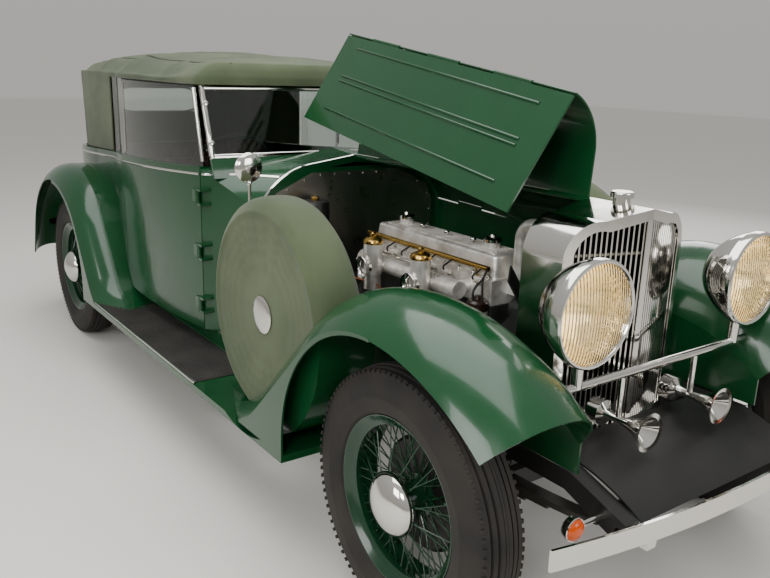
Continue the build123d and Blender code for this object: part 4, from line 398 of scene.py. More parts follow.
rim = turned(
    [
        (RIM_R - 0.022, 0.040), (RIM_R - 0.010, 0.047), (RIM_R - 0.004, 0.052), (RIM_R + 0.009, 0.0645),
        (RIM_R + 0.012, 0.0650), (RIM_R + 0.012, 0.0600), (RIM_R, 0.043), (RIM_R - 0.013, 0.035),
        (RIM_R - 0.015, 0.020), (RIM_R - 0.015, -0.020), (RIM_R - 0.013, -0.035), (RIM_R, -0.043),
        (RIM_R + 0.012, -0.0600), (RIM_R + 0.012, -0.0650), (RIM_R + 0.009, -0.0645),
        (RIM_R - 0.004, -0.052), (RIM_R - 0.010, -0.047), (RIM_R - 0.022, -0.040),
        (RIM_R - 0.024, -0.030), (RIM_R - 0.019, -0.012), (RIM_R - 0.019, 0.012), (RIM_R - 0.024, 0.030),
    ],
    96,
)
hub_shell = turned(
    [
        (0.0, -HUB_IN), (HUB_R + 0.016, -HUB_IN), (HUB_R + 0.016, -0.030), (HUB_R, -0.026),
        (HUB_R - 0.006, 0.0), (HUB_R - 0.008, 0.060), (HUB_R + 0.001, 0.070), (HUB_R + 0.001, 0.080),
        (HUB_R - 0.007, 0.088), (0.0, 0.088),
    ],
    48,
)
wire_pieces = [rim, hub_shell]
for count, foot_r, foot_y, head_y, swing in SPOKE_ROWS:
    for n in range(count):
        lean = swing if n % 2 else -swing
        foot = 2 * math.pi * (n - n % 2 + 0.35 * (n % 2)) / count
        head = foot + math.radians(lean)
        start = round_about(foot_r, foot, foot_y)
        end = round_about(RIM_R - 0.018, head, head_y)
        wire_pieces.append(rod(start, end, SPOKE_R))
        nipple = end + (start - end).normalized() * 0.014
        wire_pieces.append(rod(nipple, end, SPOKE_R * 1.8))
valve_root = round_about(RIM_R - 0.016, 0.4, 0.01)
wire_pieces.append(rod(valve_root, round_about(RIM_R - 0.052, 0.4, 0.026), 0.004, 10))
wire_wheel = joined(*wire_pieces)

hub_cap = turned(
    [
        (0.0, 0.066), (0.088, 0.062), (0.095, 0.064), (0.096, 0.070), (0.0935, 0.077), (0.087, 0.0865),
        (0.076, 0.0955), (0.061, 0.1035), (0.043, 0.1105), (0.022, 0.1160), (0.0, HUB_END),
    ],
    64,
)
drum = turned(
    [
        (0.040, -HUB_IN + 0.004), (DRUM_R - 0.012, -HUB_IN + 0.004), (DRUM_R - 0.002, -HUB_IN - 0.004),
        (DRUM_R, -HUB_IN - 0.012), (DRUM_R - 0.004, -HUB_IN - 0.014), (DRUM_R - 0.004, -HUB_IN - 0.020),
        (DRUM_R, -HUB_IN - 0.022), (DRUM_R, -HUB_IN - 0.030), (DRUM_R - 0.004, -HUB_IN - 0.032),
        (DRUM_R - 0.004, -HUB_IN - 0.038), (DRUM_R, -HUB_IN - 0.040), (DRUM_R, -HUB_IN - 0.042),
        (DRUM_R - 0.008, -HUB_IN - 0.042), (DRUM_R - 0.008, -HUB_IN - 0.008), (0.040, -HUB_IN - 0.008),
    ],
    72,
)
for end, axle_x in AXLES.items():
    for side, word in ((1, "left"), (-1, "right")):
        place = Matrix.Translation((axle_x, side * WHEEL_Y, TYRE_R)) @ Matrix.Diagonal((1, side, 1, 1))
        body = f"wheel_{end}_{word}"
        for pattern, part, material, slot in (
            (wire_wheel, "wires", wheel_green, "wheel_green"),
            (hub_cap, "hub_cap", chrome, "bright_metal"),
            (drum, "brake_drum", chassis_black, "dark_paint"),
        ):
            piece = copied(pattern, place)
            finished(piece, f"{body}_{part}", material, body=body)
            if side < 0:
                close_mesh(piece)
            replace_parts(piece, body)
for pattern in (hub_cap, drum):
    bpy.data.objects.remove(pattern)

# Engine: a cast iron block and crankcase in dull enamel, with a ribbed, polished alloy cover that
# is held down by rows of nuts, and two oil fillers. Iron stays rough from the sand mould, and the
# alloy is bright, with oil in its corners.


def cast_metal(name, colour, dark, metallic, rough, grit):
    """Metal cast in sand of a grit in millimetres, and darker where oil and dust collect."""
    material, tree, surface, place = new_material(name)
    stain = add_node(tree, "ShaderNodeTexNoise", {"Vector": place, "Scale": spaced(62.5), "Detail": 8.0})
    spread = add_node(
        tree, "ShaderNodeMapRange", {"Value": stain.outputs["Fac"], "From Min": 0.4, "From Max": 0.7}
    )
    shade = add_node(
        tree, "ShaderNodeMix", {"Factor": spread.outputs["Result"], 6: tint(colour), 7: tint(dark)},
        data_type="RGBA",
    )
    sand = add_node(tree, "ShaderNodeTexNoise", {"Vector": place, "Scale": spaced(grit), "Detail": 4.0})
    bump = add_node(
        tree, "ShaderNodeBump", {"Height": sand.outputs["Fac"], "Strength": 0.35, "Distance": 0.002}
    )
    feed(tree, surface, {
        "Base Color": shade.outputs[2], "Metallic": metallic, "Roughness": rough,
        "Normal": bump.outputs["Normal"],
    })
    return material


engine_iron = cast_metal("cast_iron_enamel", "2B2D2A", "14120F", 0.2, 0.55, 3)
engine_alloy = cast_metal("polished_cast_aluminium", "F4F1EA", "B4AEA4", 0.6, 0.28, 4)
copper_pipe = polished("copper_pipe", "B8744A", 0.18)
brass = polished("brass", "B89550", 0.2)
dress(engine_iron, "engine_block", "exhaust")
dress(engine_alloy, "engine_head", "carburettors")
hose_rubber = rubber("hose_rubber", "0E0D0C", "2A2621")
HEAD_X = (0.635, 1.415)
HEAD_Z = 0.890
COVER_Z = 0.970
ENGINE_X = 1.025
FILLER_X = (0.765, 1.285)
NUT_R = 0.009
NUT_ROWS = (-0.101, 0.101)
STUDS_A_ROW = 10
UPRIGHT = (0, 0, 1)
FORWARD = (1, 0, 0)


def block(centre, size, edge=0.002, segments=2):
    """A rectangular casting with rounded edges."""
    bpy.ops.object.select_all(action="DESELECT")
    bpy.ops.mesh.primitive_cube_add(size=1, location=centre)
    piece = bpy.context.object
    piece.scale = size
    settle(piece)
    worked(piece, "BEVEL", width=edge, segments=segments)
    return piece


def barrel(centre, radius, depth, axis=UPRIGHT, sides=24, edge=0.0):
    """A round boss, with a rounded rim if it is given an edge."""
    bpy.ops.object.select_all(action="DESELECT")
    bpy.ops.mesh.primitive_cylinder_add(vertices=sides, radius=radius, depth=depth)
    piece = bpy.context.object
    piece.matrix_world = Matrix.Translation(centre) @ aimed(axis)
    settle(piece)
    if edge:
        worked(piece, "BEVEL", width=edge, segments=2, limit_method="ANGLE")
    return piece


def pipe(points, radius, name, material, sides=10, body="chassis"):
    """A rigid pipe bent along a smooth line through its points."""
    curve = bpy.data.curves.new(name, "CURVE")
    curve.dimensions = "3D"
    spline = curve.splines.new("BEZIER")
    spline.bezier_points.add(len(points) - 1)
    for knot, point in zip(spline.bezier_points, points):
        knot.co = point
        knot.handle_left_type = knot.handle_right_type = "AUTO"
    curve.bevel_depth = radius
    curve.bevel_resolution = sides // 4
    curve.resolution_u = 8
    curve.use_fill_caps = True
    tube = bpy.data.objects.new(name, curve)
    bpy.context.scene.collection.objects.link(tube)
    hold(tube)
    bpy.ops.object.convert(target="MESH")
    return finished(bpy.context.object, name, material, body=body)


def placed(piece, *spots):
    """Copies of a piece moved to each spot, joined; the pattern itself is removed."""
    copies = [copied(piece, Matrix.Translation(spot)) for spot in spots]
    bpy.data.objects.remove(piece)
    settle(*copies)
    return joined(*copies)


ribs = [block((ENGINE_X, (n - 3) * 0.016, COVER_Z + 0.002), (0.64, 0.006, 0.009), 0.002) for n in range(7)]
finished(joined(*ribs), "cover_ribs", engine_alloy)
head_nuts = []
for n in range(STUDS_A_ROW):
    nut_x = HEAD_X[0] + 0.035 + n * (HEAD_X[1] - HEAD_X[0] - 0.07) / (STUDS_A_ROW - 1)
    for nut_y in NUT_ROWS:
        head_nuts.append(barrel((nut_x, nut_y, HEAD_Z + 0.005), NUT_R, 0.010, sides=6, edge=0.001))
        head_nuts.append(barrel((nut_x, nut_y, HEAD_Z + 0.012), NUT_R / 2, 0.010, sides=10))
for nut_x in (0.87, ENGINE_X, 1.18):
    head_nuts.append(barrel((nut_x, 0, COVER_Z + 0.012), 0.013, 0.016, sides=6, edge=0.002))
finished(joined(*head_nuts), "head_nuts", chrome)
filler_cap = turned(
    [
        (0.0, 0.0), (0.030, 0.0), (0.035, 0.004), (0.035, 0.013), (0.030, 0.019), (0.013, 0.021),
        (0.011, 0.030), (0.0, 0.032),
    ],
    28,
    UPRIGHT,
)
fillers = placed(filler_cap, *((x, 0, 0.993) for x in FILLER_X))
finished(fillers, "oil_filler_caps", chrome)

# Ignition: six plugs along the right side of the head, with steel bodies and glazed porcelain
# insulators. Rubber-covered leads drop to them from a brass tube, which is fed by the distributor,
# an alloy body under a moulded cap at the front.
porcelain = enamel("white_plug_porcelain", "CFC8B8", "E6E0D2", 0.25)
bakelite = enamel("moulded_bakelite", "1A0E08", "2E1C12", 0.3)
PLUG_X = (0.690, 0.850, 0.945, 1.105, 1.200, 1.360)
PLUG_WAY = (0, -1, 0.5)
TUBE_Y, TUBE_Z = -0.118, 0.930
TUBE_ENDS = (0.665, 1.395)
LEAD_R = 0.0035
DISTRIBUTOR_X, DISTRIBUTOR_Y = 1.385, -0.150
plugs = [barrel((x, -0.124, 0.874), 0.011, 0.020, PLUG_WAY, 6, 0.001) for x in PLUG_X]
finished(joined(*plugs), "spark_plug_bodies", chrome)
insulators = [barrel((x, -0.142, 0.883), 0.0065, 0.030, PLUG_WAY, 14, 0.001) for x in PLUG_X]
finished(joined(*insulators), "spark_plug_insulators", porcelain)
conduit = [rod((TUBE_ENDS[0], TUBE_Y, TUBE_Z), (TUBE_ENDS[1], TUBE_Y, TUBE_Z), 0.010, 16)]
for post_x in (0.72, ENGINE_X, 1.33):
    conduit.append(rod((post_x, -0.106, HEAD_Z - 0.004), (post_x, TUBE_Y, 0.926), 0.004, 8))
finished(joined(*conduit), "plug_lead_conduit", brass)
for n, plug_x in enumerate(PLUG_X):
    lead_line = [
        (plug_x, TUBE_Y, 0.924), (plug_x + 0.008, -0.142, 0.918), (plug_x + 0.002, -0.160, 0.903),
        (plug_x, -0.154, 0.889),
    ]
    pipe(lead_line, LEAD_R, f"plug_lead_{n + 1}", hose_rubber, 8)
distributor = turned(
    [
        (0.0, 0.0), (0.024, 0.0), (0.026, 0.030), (0.036, 0.036), (0.038, 0.082), (0.034, 0.086),
        (0.0, 0.086),
    ],
    28,
    UPRIGHT,
)
distributor_body = placed(distributor, (DISTRIBUTOR_X, DISTRIBUTOR_Y, 0.700))
finished(distributor_body, "distributor_body", engine_alloy)
distributor_cap = turned(
    [
        (0.0, 0.0), (0.039, 0.0), (0.040, 0.006), (0.038, 0.028), (0.030, 0.036), (0.014, 0.038),
        (0.011, 0.052), (0.0, 0.053),
    ],
    28,
    UPRIGHT,
)
distributor_top = placed(distributor_cap, (DISTRIBUTOR_X, DISTRIBUTOR_Y, 0.786))
finished(distributor_top, "distributor_cap", bakelite)
for n, (out_x, out_y) in enumerate(((0.022, 0.0), (-0.022, 0.0), (0.0, -0.022), (0.0, 0.022))):
    lead_line = [
        (DISTRIBUTOR_X + out_x, DISTRIBUTOR_Y + out_y, 0.818),
        (DISTRIBUTOR_X + out_x, DISTRIBUTOR_Y - 0.002 + out_y, 0.850),
        (1.398, -0.140, 0.905), (1.392, TUBE_Y, TUBE_Z),
    ]
    pipe(lead_line, LEAD_R, f"distributor_lead_{n + 1}", hose_rubber, 8)

# Carburettors: brass dashpot caps on the two cast bodies, bright trumpets at their intakes, and
# one steel rod with small levers that works both throttles.
CARBURETTOR_X = (0.875, 1.175)
CARBURETTOR_Y = -0.245
PORT_Z = 0.845
THROTTLE_Y, THROTTLE_Z = -0.206, 0.898
carburettor_cap = turned(
    [
        (0.0, 0.0), (0.037, 0.0), (0.041, 0.004), (0.041, 0.010), (0.035, 0.021), (0.020, 0.028),
        (0.012, 0.029), (0.012, 0.041), (0.006, 0.045), (0.0, 0.045),
    ],
    28,
    UPRIGHT,
)
dashpots = placed(carburettor_cap, *((x, CARBURETTOR_Y, 0.934) for x in CARBURETTOR_X))
finished(dashpots, "carburettor_caps", brass)
trumpet = turned(
    [
        (0.026, 0.004), (0.027, -0.010), (0.032, -0.020), (0.039, -0.027), (0.043, -0.028),
        (0.044, -0.026), (0.037, -0.018), (0.032, -0.008), (0.031, 0.004),
    ],
    28,
)
trumpets = placed(trumpet, *((x, -0.275, PORT_Z) for x in CARBURETTOR_X))
finished(trumpets, "air_trumpets", chrome)
linkage = [rod((0.835, THROTTLE_Y, THROTTLE_Z), (1.225, THROTTLE_Y, THROTTLE_Z), 0.004, 10)]
for x in CARBURETTOR_X + (1.215,):
    linkage.append(block((x, THROTTLE_Y, 0.884), (0.010, 0.005, 0.040), 0.002))
finished(joined(*linkage), "throttle_linkage", chrome)

# Coolant hose: a moulded rubber sleeve over the joint of the bright water pipe, held by two steel
# bands with their clamp screws on top.
HOSE_X, HOSE_Z = 1.600, 1.090
BAND_X = (HOSE_X - 0.048, HOSE_X + 0.048)
hose = barrel((HOSE_X, 0, HOSE_Z), 0.0295, 0.120, FORWARD, 32, 0.003)
finished(hose, "water_hose", hose_rubber)
bands = [barrel((x, 0, HOSE_Z), 0.0315, 0.013, FORWARD, 32, 0.001) for x in BAND_X]
bands += [block((x, 0.004, HOSE_Z + 0.034), (0.012, 0.016, 0.010), 0.002) for x in BAND_X]
finished(joined(*bands), "hose_bands", chrome)

# Firewall: the bulkhead is faced with a sheet of bright aluminium, held round its edge by small
# round-headed screws.
sheet_metal = polished("firewall_aluminium", "B4B0A8", 0.26)
FACING_X = 0.3815
SCREW_PITCH = 0.085
FIREWALL_LINE = (
    (0.0, 0.600), (0.440, 0.600), (0.440, 0.985), (0.405, 1.070), (0.232, 1.148), (0.0, 1.148),
    (-0.232, 1.148), (-0.405, 1.070), (-0.440, 0.985), (-0.440, 0.600),
)
bpy.ops.object.select_all(action="DESELECT")
bpy.ops.mesh.primitive_circle_add(vertices=len(FIREWALL_LINE), fill_type="NGON")
facing_sheet = bpy.context.object
for vertex, (y, z) in zip(facing_sheet.data.vertices, FIREWALL_LINE):
    vertex.co = (FACING_X, y, z)
worked(facing_sheet, "SOLIDIFY", thickness=0.003, offset=0)
close_mesh(facing_sheet)
finished(facing_sheet, "firewall_facing", sheet_metal)
screws = []
for (y0, z0), (y1, z1) in zip(FIREWALL_LINE, FIREWALL_LINE[1:] + FIREWALL_LINE[:1]):
    count = max(1, round(math.hypot(y1 - y0, z1 - z0) / SCREW_PITCH))
    for n in range(count):
        share = (n + 0.5) / count
        y, z = (y0 + (y1 - y0) * share) * 0.97, 0.87 + (z0 + (z1 - z0) * share - 0.87) * 0.96
        screws.append(barrel((FACING_X + 0.003, y, z), 0.005, 0.004, FORWARD, 12, 0.001))
finished(joined(*screws), "firewall_screws", chrome)

# Fuel supply: a black enamelled lift tank strapped to the firewall, with brass fittings, and a
# bent copper pipe from it along the two carburettors.
TANK_X, TANK_Y = 0.462, -0.262
FUEL_PIPE_R = 0.005
tank = [
    barrel((TANK_X, TANK_Y, 0.950), 0.062, 0.190, sides=40, edge=0.012),
    barrel((TANK_X, TANK_Y, 1.000), 0.064, 0.012, sides=40, edge=0.002),
    barrel((TANK_X, TANK_Y, 0.900), 0.064, 0.012, sides=40, edge=0.002),
    block((0.392, TANK_Y, 0.950), (0.030, 0.050, 0.120), 0.004),
]
finished(joined(*tank), "fuel_lift_tank", chassis_black)
tank_cap = barrel((TANK_X, TANK_Y, 1.052), 0.018, 0.018, sides=8, edge=0.002)
tank_outlet = barrel((TANK_X, TANK_Y, 0.848), 0.010, 0.024, sides=8)
finished(joined(tank_cap, tank_outlet), "tank_fittings", brass)
feed_line = [
    (TANK_X, TANK_Y, 0.840), (0.480, TANK_Y, 0.800), (0.560, -0.258, 0.772), (0.720, -0.250, 0.770),
    (0.845, CARBURETTOR_Y, 0.775),
]
pipe(feed_line, FUEL_PIPE_R, "fuel_pipe", copper_pipe)
cross_line = [
    (0.905, CARBURETTOR_Y, 0.775), (0.98, -0.258, 0.768), (1.08, -0.258, 0.768),
    (1.145, CARBURETTOR_Y, 0.775),
]
pipe(cross_line, FUEL_PIPE_R, "fuel_cross_pipe", copper_pipe)

# Radiator: a chromium-plated shell with a V front, upright plated slats before a black
# honeycomb core. The shell is pressed and soldered, and polished before plating.


def honeycomb(name, cell, edge, cell_shade):
    """Radiator core: black enamelled brass tubes, each cell so many millimetres wide, with painted shade
    darkening the inside of each cell.
    """
    material, tree, surface, place = new_material(name)
    cells = add_node(
        tree, "ShaderNodeTexVoronoi", {"Vector": place, "Scale": spaced(cell), "Randomness": 0.15},
        feature="DISTANCE_TO_EDGE",
    )
    wall = add_node(tree, "ShaderNodeMapRange", {"Value": cells.outputs["Distance"], "From Max": 0.16})
    # painted shade: the colour darkens from each cell's wall to its middle, as if in the tube's shadow
    shade = add_node(
        tree, "ShaderNodeMix", {"Factor": wall.outputs["Result"], 6: tint(edge), 7: tint(cell_shade)},
        data_type="RGBA",
    )
    bump = add_node(
        tree, "ShaderNodeBump", {"Height": wall.outputs["Result"], "Strength": 0.8, "Distance": 0.004},
        invert=True,
    )
    feed(tree, surface, {
        "Base Color": shade.outputs[2], "Metallic": 0.4, "Roughness": 0.5,
        "Normal": bump.outputs["Normal"],
    })
    return material


core_black = honeycomb("enamelled_brass_core_painted_shade", 10, "3A352E", "060605")
dress(chrome, "radiator_shell", "grille_slats")
dress(core_black, "radiator_core")

# Bonnet: two thin steel tops hinged on a centre rod, and side panels hinged on the tops. Each
# side panel is stiffened by four half-round swages, rolled into the sheet before it was painted.
dress(chrome, "bonnet_hinge_rod")
SWAGE_HEIGHTS = (0.672, 0.800, 0.822, 0.948)
SWAGE_END = 0.110
SWAGE_R = 0.0055
SWAGE_SUNK = 0.003
CLEAR_OF_CAR = 1.5
side_low, side_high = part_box("bonnet_side_left")
joint_rows = {joint["name"]: joint for joint in frame["joints"]}


def on_skin(node, start, aim):
    """Where a line from outside first meets a CAD panel's face."""
    way = (Vector(aim) - Vector(start)).normalized()
    found, spot, _, _ = cad_nodes[node].ray_cast(Vector(start), way)
    return spot if found else None


def on_side(node, x, side, height):
    """The place on a panel's left (1) or right (-1) face, at a distance along and a height."""
    return on_skin(node, (x, side * CLEAR_OF_CAR, height), (x, 0, height))


def about_joint(name, degrees):
    """A turn about a joint's own axis."""
    pin = Vector(joint_rows[name]["pos_m"])
    turn = Matrix.Rotation(math.radians(degrees), 4, Vector(joint_rows[name]["axis"]))
    return Matrix.Translation(pin) @ turn @ Matrix.Translation(-pin)


side_swing = -joint_rows["bonnet_side_right_hinge"]["range_deg"][0]
top_swing = -joint_rows["bonnet_top_right_hinge"]["range_deg"][1]
opened = about_joint("bonnet_side_right_hinge", side_swing)
opened = opened @ about_joint("bonnet_top_right_hinge", top_swing)
for word, swing in (("left", Matrix.Identity(4)), ("right", opened @ Matrix.Diagonal((1, -1, 1, 1)))):
    swages = []
    for height in SWAGE_HEIGHTS:
        ends = []
        for x in (side_low[0] + SWAGE_END, side_high[0] - SWAGE_END):
            face = on_side("bonnet_side_left", x, 1, height)
            ends.append(swing @ (face - Vector((0, SWAGE_SUNK, 0))))
        middle = (ends[0] + ends[1]) / 2
        run = ends[1] - ends[0]
        swages.append(barrel(middle, SWAGE_R, run.length, run, 20, 0.004))
    finished(
        joined(*swages), f"bonnet_swages_{word}", body_green, body=f"bonnet_side_{word}"
    )

# Mouldings: a half-round plated strip along the belt of each side, in one length to a panel, and
# an arch of the same strip on the scuttle, where the bonnet shuts down on it. They are screwed on
# from inside, so no heads show.
STRIP_R = 0.0055
BELT_DROP = 0.030
SCUTTLE_X = 0.145
ARCH_X = 0.373
ARCH_HEIGHTS = (0.62, 0.70, 0.78, 0.86, 0.94)
ARCH_STEPS = 24


def belt_height(x):
    """Height of the body's belt line, which the foot of the hood follows."""
    return 1.165 - 0.103 * (SCUTTLE_X - x) / 2.135


for side, word in ((1, "left"), (-1, "right")):
    for part, node, body, front, back in (
        ("scuttle", "scuttle", "chassis", 0.360, 0.152),
        ("door", f"door_{word}", f"door_{word}", 0.136, -0.786),
        ("rear_body", "rear_body", "chassis", -0.804, -1.975),
    ):
        line = []
        for n in range(13):
            x = front + (back - front) * n / 12
            line.append(on_side(node, x, side, belt_height(min(x, SCUTTLE_X)) - BELT_DROP))
        pipe(
            [spot for spot in line if spot], STRIP_R, f"belt_strip_{part}_{word}", chrome,
            12, body,
        )
arch_line = [on_side("scuttle", ARCH_X, -1, height) for height in ARCH_HEIGHTS]
for n in range(1, ARCH_STEPS):
    turn = math.pi * n / ARCH_STEPS
    out_y, out_z = -CLEAR_OF_CAR * math.cos(turn), CLEAR_OF_CAR * math.sin(turn)
    start = (ARCH_X, out_y, ARCH_HEIGHTS[-1] + out_z)
    arch_line.append(on_skin("scuttle", start, (ARCH_X, 0, ARCH_HEIGHTS[-1])))
arch_line += [on_side("scuttle", ARCH_X, 1, height) for height in reversed(ARCH_HEIGHTS)]
pipe([spot for spot in arch_line if spot], 0.0065, "scuttle_arch_strip", chrome, 12)

# Windscreen and side glass: polished plate glass, faintly green at its edges. The windscreen's
# frame is of plated brass bars on a painted foot, and clamp knobs on the posts set its rake.


def plate_glass(name, colour, clear=1.0):
    """Polished glass, faintly tinted, with a trace of dust."""
    material, tree, surface, place = new_material(name)
    film = add_node(tree, "ShaderNodeTexNoise", {"Vector": place, "Scale": spaced(200), "Detail": 6.0})
    gloss = add_node(
        tree, "ShaderNodeMapRange", {"Value": film.outputs["Fac"], "To Min": 0.0, "To Max": 0.06}
    )
    feed(tree, surface, {
        "Base Color": tint(colour), "Roughness": gloss.outputs["Result"],
        "Transmission Weight": clear, "IOR": 1.45,
    })
    return material


clear_glass = plate_glass("plate_glass", "E8F0EC")
dress(
    clear_glass,
    "windscreen_glass", "door_glass_left", "door_glass_right", "quarter_glass", "rear_window",
)
RAKE = math.radians(18)
SCREEN_X, SCREEN_Z = 0.190, 1.190
SCREEN_HALF = 0.612
SCREEN_UP = 0.331


def screen_bar(centre, size, edge):
    """A bar of the raked windscreen; its centre is given across, up the screen and out of it."""
    bar_piece = block((0, 0, 0), size, edge, 3)
    across_y, up, out = centre
    spot = Vector((
        SCREEN_X - math.sin(RAKE) * up + math.cos(RAKE) * out, across_y,
        SCREEN_Z + math.cos(RAKE) * up + math.sin(RAKE) * out,
    ))
    bar_piece.matrix_world = Matrix.Translation(spot) @ Matrix.Rotation(-RAKE, 4, "Y")
    return bar_piece


rails = [
    screen_bar((0, 0.020, 0), (0.022, 2 * SCREEN_HALF, 0.022), 0.006),
    screen_bar((0, SCREEN_UP - 0.014, 0), (0.022, 2 * SCREEN_HALF, 0.024), 0.006),
]
for side in (-1, 1):
    stile = ((side * (SCREEN_HALF - 0.010), SCREEN_UP / 2, 0), (0.024, 0.020, SCREEN_UP - 0.016))
    rails.append(screen_bar(*stile, 0.006))
settle(*rails)
screen_foot = screen_bar((0, -0.032, 0), (0.016, 2 * SCREEN_HALF, 0.090), 0.004)
knobs = []
for side in (-1, 1):
    for up in (0.075, 0.245):
        knob = barrel((0, 0, 0), 0.011, 0.016, UPRIGHT, 16, 0.003)
        spot = screen_bar((side * (SCREEN_HALF - 0.012), up, 0.014), (0.01, 0.01, 0.01), 0.001)
        knob.matrix_world = spot.matrix_world @ Matrix.Rotation(math.pi / 2, 4, "Y")
        bpy.data.objects.remove(spot)
        knobs.append(knob)
settle(*knobs)
for piece, part, material, slot in (
    (joined(*rails), "rails", chrome, "bright_metal"),
    (screen_foot, "foot", body_green, "green_paint"),
    (joined(*knobs), "clamp_knobs", chrome, "bright_metal"),
):
    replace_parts(finished(piece, f"windscreen_{part}", material), "windscreen_frame")

# Pane channels: slim plated brass channels on the upright edges of the doors' panes, which keep
# the glass from rattling.
CHANNEL_R = 0.0065
PANE_TOP = 1.490
PANE_BACK = -0.783
for side, word in ((1, "left"), (-1, "right")):
    corners = [
        on_side(f"door_glass_{word}", x, side, height)
        for x, height in (
            (0.131, 1.185), (0.076, PANE_TOP),
            (PANE_BACK, PANE_TOP), (PANE_BACK, belt_height(PANE_BACK) + 0.020),
        )
    ]
    channel = joined(rod(*corners[:2], CHANNEL_R, 12), rod(*corners[2:], CHANNEL_R, 12))
    finished(channel, f"pane_channel_door_glass_{word}", chrome, body=f"door_{word}")

# Hood: a double-texture duck cloth in khaki green, proofed between its layers, stretched over
# three hoops of bent ash from the windscreen rail to the tail. It is sewn from a wide middle
# piece and two side pieces, so a seam runs along each side of the roof.
hood_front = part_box("hood")[1][0]
THREAD = 0.0022


def hood_duck(name, deep, light):
    """Proofed duck cloth: a plain weave drawn at twice its real size so that it shows."""
    material, tree, surface, place = new_material(name)
    fade = add_node(tree, "ShaderNodeTexNoise", {"Vector": place, "Scale": spaced(333), "Detail": 8.0})
    spread = add_node(
        tree, "ShaderNodeMapRange", {"Value": fade.outputs["Fac"], "From Min": 0.3, "From Max": 0.75}
    )
    shade = add_node(
        tree, "ShaderNodeMix", {"Factor": spread.outputs["Result"], 6: tint(deep), 7: tint(light)},
        data_type="RGBA",
    )
    weave = 0.0
    for direction in ("X", "Y", "Z"):
        threads = add_node(
            tree, "ShaderNodeTexWave",
            {"Vector": place, "Scale": 2 * math.pi / (20 * THREAD), "Distortion": 1.2, "Detail": 1.0},
            bands_direction=direction,
        )
        crossed = add_node(tree, "ShaderNodeMath", {0: weave, 1: threads.outputs["Fac"]}, operation="ADD")
        weave = crossed.outputs[0]
    lit = add_node(
        tree, "ShaderNodeMapRange",
        {"Value": weave, "From Min": 0.6, "From Max": 2.4, "To Min": 0.86, "To Max": 1.1},
    )
    toned = add_node(
        tree, "ShaderNodeHueSaturation", {"Color": shade.outputs[2], "Value": lit.outputs["Result"]}
    )
    bump = add_node(tree, "ShaderNodeBump", {"Height": weave, "Strength": 0.25, "Distance": 0.0012})
    feed(tree, surface, {
        "Base Color": toned.outputs["Color"], "Roughness": 0.88, "Normal": bump.outputs["Normal"],
        "Sheen Weight": 0.12, "Sheen Roughness": 0.5, "Specular IOR Level": 0.3,
    })
    return material


khaki_duck = hood_duck("khaki_hood_duck", "38432D", "566044")
binding_duck = hood_duck("hood_binding_tape", "343A27", "4A4F39")
HOOD_X = (-2.046, hood_front - 0.004)
HOOD_HALF = 0.634
HOOD_FOOT, HOOD_CROWN = 1.064, 1.640
WINDOW_TOP = 1.505
WINDOW_BACK = -1.160
REAR_LIGHT = ((-0.330, 0.330), (1.262, 1.418))
BOWS = (-0.36, -0.90, -1.44)
HALF_WIDTHS = (
    (0.145, 0.626), (-0.18, 0.634), (-0.795, 0.634), (-0.93, 0.622), (-1.055, 0.594), (-1.445, 0.577),
    (-1.66, 0.566), (-1.86, 0.541), (-2.06, 0.492),
)
ROOF_LINE = (
    (0.128, 1.597), (-0.20, 1.622), (-0.86, 1.647), (-1.50, 1.634), (-1.92, 1.609), (-2.06, 1.60),
)
EDGE_ROUND = 0.12
FRONT_ROUND, TAIL_ROUND = 0.035, 0.13
ROOF_FALL = 0.040
BOW_RISE, BOW_WIDTH = 0.007, 0.030
CLOTH_SAG = 0.011
TAIL_TUCK = 0.060


def along_line(table, x):
    """A value read in straight steps from a table of (x, value) that runs rearwards."""
    if x >= table[0][0]:
        return table[0][1]
    for (x0, v0), (x1, v1) in zip(table, table[1:]):
        if x >= x1:
            share = (x0 - x) / (x0 - x1)
            return v0 + (v1 - v0) * share
    return table[-1][1]


def eased(value, start, end):
    """0 before start, 1 after end and a smooth rise between them."""
    share = min(1.0, max(0.0, (value - start) / (end - start)))
    return share * share * (3 - 2 * share)


def on_hood(point):
    """Moves a point of the plain box that the hood is cut from to its place on the stretched hood."""
    x, y, z = point
    core = Vector((
        min(max(x, HOOD_X[0] + TAIL_ROUND), HOOD_X[1] - FRONT_ROUND),
        min(max(y, EDGE_ROUND - HOOD_HALF), HOOD_HALF - EDGE_ROUND),
        min(z, HOOD_CROWN - EDGE_ROUND),
    ))
    reach = Vector((TAIL_ROUND if x < core.x else FRONT_ROUND, EDGE_ROUND, EDGE_ROUND))
    away = Vector(((x - core.x) / reach.x, (y - core.y) / reach.y, (z - core.z) / reach.z))
    if away.length > 0:
        away.normalize()
    x, y, z = core.x + away.x * reach.x, core.y + away.y * reach.y, core.z + away.z * reach.z
    roof = along_line(ROOF_LINE, x) - ROOF_FALL * (abs(y) / 0.5) ** 2.2 * eased(-x, -0.10, 0.35)
    for bow_x in BOWS:
        roof += BOW_RISE * math.exp(-(((x - bow_x) / BOW_WIDTH) ** 2))
    for front, back in zip((HOOD_X[1],) + BOWS, BOWS + (HOOD_X[0] + TAIL_ROUND,)):
        if back < x < front:
            sag = CLOTH_SAG * math.sin(math.pi * (x - back) / (front - back)) ** 2
            roof -= sag * math.cos(y / HOOD_HALF * math.pi / 2)
    z += (roof - HOOD_CROWN) * eased(z, 1.508, HOOD_CROWN - 0.02)
    if z < WINDOW_TOP:
        foot = belt_height(max(x, -1.99))
        z = WINDOW_TOP - (WINDOW_TOP - z) * (WINDOW_TOP - foot) / (WINDOW_TOP - HOOD_FOOT)
    y *= along_line(HALF_WIDTHS, x) / HOOD_HALF
    x += TAIL_TUCK * min(1.0, max(0.0, (1.46 - z) / 0.398)) * eased(-x, 1.75, 2.03)
    return Vector((x, y, z))


